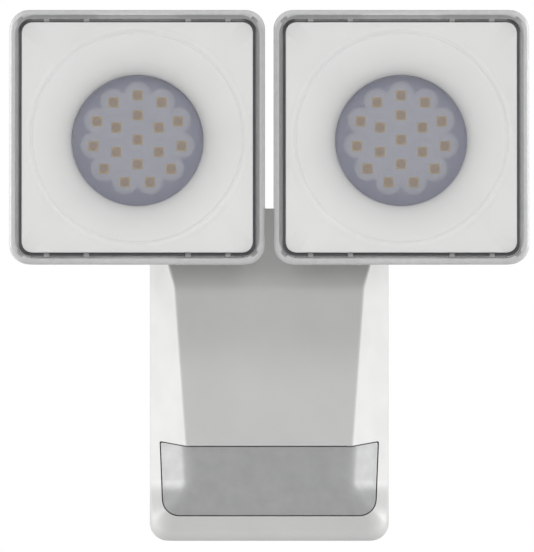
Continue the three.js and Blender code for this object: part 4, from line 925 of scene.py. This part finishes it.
def light_board():
    """The board, its packages and its phosphor domes as one mesh, with the finish of each in order."""
    board = cut(
        rod(BOARD_RADIUS, "depth", (0, 0, HEAD_Z), BOARD_BACK, BOARD_FRONT, 0.2, 96),
        *board_screw_holes(BOARD_BACK - 1, BOARD_FRONT + 1),
    )
    parts, numbers = [board], [np.zeros(len(board.polygons), int)]
    outline = rounded_square(PACKAGE_HALF, 0.4)[::2]
    gel_foot, gel_rim, gel_rise = BOARD_FRONT + 0.3, BOARD_FRONT + 0.45, 0.35
    dome = [(ON_AXIS, gel_foot), (GEL_RADIUS, gel_foot)]
    dome += [(GEL_RADIUS * math.cos(a), gel_rim + gel_rise * math.sin(a)) for a in QUARTER[:-1:2]]
    dome += [(ON_AXIS, gel_rim + gel_rise)]
    for x, z in LED_PLACES:
        package = prism(outline, BOARD_FRONT - 0.1, BOARD_FRONT + 0.55, 0.1, x, HEAD_Z + z)
        gel = turned(dome, "depth", (x, 0, HEAD_Z + z), 20)
        parts += [package, gel]
        numbers += [np.full(len(package.polygons), 1), np.full(len(gel.polygons), 2)]
    whole = bmesh.new()
    for part in parts:
        whole.from_mesh(part)
    mesh = bpy.data.meshes.new("light_board")
    whole.to_mesh(mesh)
    whole.free()
    return mesh, np.concatenate(numbers).astype(np.int32)


for side, _ in SIDES:
    board, finish_numbers = light_board()
    made = head_piece(side, "light_board", board, [led_mask, led_package, phosphor], "led_board")
    made.data.polygons.foreach_set("material_index", finish_numbers)

# %% [markdown]
# ### Lens array
# One silicone moulding covers all the lights. Its raised part has eleven petals, one round each outer
# light, and a low dome stands over every light. Its front is a height over a polar grid: a base, a step
# where the point lies inside a petal or the middle, and the dome nearest to it. The low ring outside the
# petals is coloured darker than the raised part, as painted shade.

# %% Lens array
LENS_RADIUS, LENS_STEP = 26, 1.6
PETAL_RADIUS, PETAL_HEIGHT = 5.3, 1.5
DOME_RADIUS, DOME_HEIGHT = 4.7, 1.3


def lens_array():
    """A flat back, and a front at base + step inside the petals + a dome's sqrt(1 - (r / radius)²)."""
    radius = np.concatenate([np.linspace(0.02, 24.2, 88), [25.0, 25.6, 25.9, LENS_RADIUS]])[:, None]
    angle = (np.arange(220) / 220 * 2 * math.pi)[None]
    x, z = radius * np.cos(angle), radius * np.sin(angle)
    apart = np.hypot(x[..., None] - LED_PLACES[:, 0], z[..., None] - LED_PLACES[:, 1])
    middle = np.hypot(x, z - PATTERN_RISE)
    inside = np.minimum(apart[..., 7:].min(-1) - PETAL_RADIUS, middle - OUTER_RING)
    share = np.clip(0.5 - inside / 0.9, 0, 1)
    step = PETAL_HEIGHT * share**2 * (3 - 2 * share)
    dome = DOME_HEIGHT * np.sqrt(np.clip(1 - (apart.min(-1) / DOME_RADIUS) ** 2, 0, 1))
    front = LENS_BACK + LENS_STEP + step + dome
    edge = np.array([0, 0, 0, 0.05, 0.35])  # the rim's own small round
    front[-5:] -= edge[:, None]
    rings = np.stack([x, front, HEAD_Z + z], -1)
    back = np.stack([x[::-8], np.full_like(x[::-8], LENS_BACK), HEAD_Z + z[::-8]], -1)
    mesh = solid(np.concatenate([rings, back]))
    middles = np.empty(len(mesh.polygons) * 3, np.float32)
    mesh.polygons.foreach_get("center", middles)
    # faces below the petals' half height get the darker silicone, which is painted shade
    raised = -middles[1::3] / MM > LENS_BACK + LENS_STEP + PETAL_HEIGHT / 2
    return mesh, np.where(raised, 0, 1).astype(np.int32)


for side, _ in SIDES:
    lens, finish_numbers = lens_array()
    # the second finish is a darker copy of the silicone on the low ring: painted shade
    made = head_piece(side, "lens_array_moulding", lens, [lens_silicone, lens_rim_painted_shade], "lens_array", 60)
    made.data.polygons.foreach_set("material_index", finish_numbers)

# %% [markdown]
# ## Swivel arms
# Each arm is cast in one piece: a round hub that turns on the body's top, a bent neck and a knuckle between
# the head's ears. The neck is a circle carried along a Bézier curve, and it widens where it leaves the hub.

# %% Swivel arms
HUB_RADIUS, HUB_LOW, HUB_TOP = 13, BODY_TOP + 0.3, BODY_TOP + 6.1
NECK_RADIUS, KNUCKLE_RADIUS, KNUCKLE_HALF = 7, 9, 8.9
NECK_FLARE, FLARE_SHARE, FLARE_POWER = 4.2, 0.26, 2.4
STEM_RADIUS, LEAD_RADIUS, BOLT_HOLE_RADIUS = 6.5, 3.5, 3.4
GROOVE_INNER, GROOVE_OUTER, GROOVE_HEIGHT = 8.8, 11.2, 2.1
SLOT_HALF, SLOT_DEPTH = 2.5, (62.6, 76)


def along_curve(ends, radii, sides=40):
    """Circles of the given radii across a cubic Bézier curve.

    B(t) is the sum of (1-t)³, 3t(1-t)², 3t²(1-t) and t³ times its four points.
    """
    t = np.linspace(0, 1, len(radii))[:, None]
    ends = np.asarray(ends, float)
    weights = np.concatenate([(1 - t) ** 3, 3 * t * (1 - t) ** 2, 3 * t**2 * (1 - t), t**3], 1)
    slopes = np.concatenate([-3 * (1 - t) ** 2, 3 * (1 - t) * (1 - 3 * t), 3 * t * (2 - 3 * t), 3 * t**2], 1)
    middle, heading = weights @ ends, slopes @ ends
    heading /= np.linalg.norm(heading, axis=1, keepdims=True)
    across = np.empty_like(heading)
    across[0] = np.array([1.0, 0, 0])
    for i in range(1, len(radii)):
        across[i] = across[i - 1] - heading[i] * (across[i - 1] @ heading[i])
        across[i] /= np.linalg.norm(across[i])
    other = np.cross(heading, across)
    angle = np.arange(sides) / sides * 2 * math.pi
    wheel = across[:, None] * np.cos(angle)[:, None] + other[:, None] * np.sin(angle)[:, None]
    return solid(middle[:, None] + wheel * np.asarray(radii)[:, None, None])


def swivel_arm(side):
    """Hub, stem, neck and knuckle, less the seal's groove, the slot, the bolt hole and the lead's way."""
    x, knuckle_x = side * SWIVEL_X, side * HEAD_X
    place = (x, SWIVEL_DEPTH, 0)
    bolt = (knuckle_x, TILT_DEPTH, TILT_Z)
    ends = [
        (x, SWIVEL_DEPTH, HUB_TOP - 2.8),
        (x, SWIVEL_DEPTH, TILT_Z + NECK_RADIUS),
        (knuckle_x, (SWIVEL_DEPTH + TILT_DEPTH) / 2, TILT_Z),
        (knuckle_x, TILT_DEPTH, TILT_Z),
    ]
    t = np.linspace(0, 1, 40)
    flare = NECK_FLARE * np.clip(1 - t / FLARE_SHARE, 0, 1) ** FLARE_POWER
    neck = along_curve(ends, NECK_RADIUS + flare)
    knuckle = rod(KNUCKLE_RADIUS, "x", bolt, knuckle_x - KNUCKLE_HALF, knuckle_x + KNUCKLE_HALF, 0.8)
    hub = rod(HUB_RADIUS, "z", place, HUB_LOW, HUB_TOP, 1.2)
    stem = rod(STEM_RADIUS, "z", place, BODY_TOP - 11, HUB_LOW + 1, 0.4)
    low, high = HUB_LOW - 1, HUB_LOW + GROOVE_HEIGHT
    groove = [(GROOVE_INNER, low), (GROOVE_OUTER, low), (GROOVE_OUTER, high), (GROOVE_INNER, high)]
    groove = turned(groove, "z", place)
    slot = block((knuckle_x - SLOT_HALF, knuckle_x + SLOT_HALF), SLOT_DEPTH, (TILT_Z - 10, TILT_Z + 10))
    bolt_hole = rod(BOLT_HOLE_RADIUS, "x", bolt, knuckle_x - 13, knuckle_x + 13, sides=40)
    lead = along_curve(ends, np.full(24, LEAD_RADIUS), 24)
    lead_entry = rod(LEAD_RADIUS, "z", place, BODY_TOP - 12, HUB_TOP, sides=24)
    return cut(joined(neck, knuckle, hub, stem), groove, slot, bolt_hole, joined(lead, lead_entry))


for side, word in SIDES:
    piece(f"{word}_arm_casting", swivel_arm(side), white_powder_coat, f"{word}_arm", f"{word}_swivel_arm", 28)

# %% [markdown]
# ## Floor and light
# A plain pale floor lies under the lamp, which hangs above it as it would on a wall. The light is soft: a
# white surround, a wide panel behind each side, and two in front, one low and one high. The surround looks
# pure white to the camera and gives less light than that, which a Light Path node allows.

# %% Floor
floor_mesh = bpy.data.meshes.new("floor")
FLOOR_HALF, FLOOR_Z = 5, -0.16
corners = [(x * FLOOR_HALF, y * FLOOR_HALF, FLOOR_Z) for x, y in ((-1, -1), (1, -1), (1, 1), (-1, 1))]
floor_mesh.from_pydata(corners, [], [(0, 1, 2, 3)])
floor_finish, tree, place = new_finish("pale_painted_floor", "#f4f4f3")
floor_tone = mixed(tree, noise(tree, place, 400), "#f6f6f5", "#f2f2f1")
show(tree, add(tree, "ShaderNodeBsdfPrincipled", {"Base Color": floor_tone, "Roughness": 0.7}))
floor_mesh.materials.append(floor_finish)
floor = bpy.data.objects.new("floor", floor_mesh)
scene.collection.objects.link(floor)

# %% Lights
LAMP_MIDDLE = Vector((0, -0.06, 0.04))
SURROUND_LIGHT = 0.33  # the surround's own light, where what the camera sees of it is 1


def panel(name, place, width, height, power, spread, shines=True):
    """A soft rectangular light facing the lamp's middle, in metres, watts and degrees of spread.

    With shines off it lights the lamp but leaves no reflection.
    """
    light = bpy.data.lights.new(name, "AREA")
    light.shape, light.size, light.size_y, light.energy = "RECTANGLE", width, height, power
    light.spread = math.radians(spread)
    made = bpy.data.objects.new(name, light)
    scene.collection.objects.link(made)
    made.location = place
    made.rotation_euler = (LAMP_MIDDLE - Vector(place)).to_track_quat("-Z", "Y").to_euler()
    made.visible_camera, made.visible_glossy = False, shines
    return made


panel("left_panel", (-1.3, 0.3, 0.3), 0.8, 0.9, 5.1, 100)
panel("right_panel", (1.3, 0.3, 0.3), 0.8, 0.9, 5.1, 100)
panel("front_panel", (0, -2, 0.25), 0.7, 0.35, 1.4, 60, shines=False)
panel("high_panel", (0, -1.7, 1.1), 0.9, 0.5, 0.8, 60, shines=False)

world = bpy.data.worlds.new("white_surround")
scene.world = world
world.use_nodes = True
world_tree = world.node_tree
world_tree.nodes.clear()
seen = add(world_tree, "ShaderNodeLightPath").outputs["Is Camera Ray"]
strength = ramp(world_tree, seen, 0, 1, SURROUND_LIGHT, 1.0)
white = add(world_tree, "ShaderNodeBackground", {"Color": (1, 1, 1, 1), "Strength": strength})
add(world_tree, "ShaderNodeOutputWorld", {"Surface": white.outputs[0]})
scene.view_settings.view_transform = "Standard"
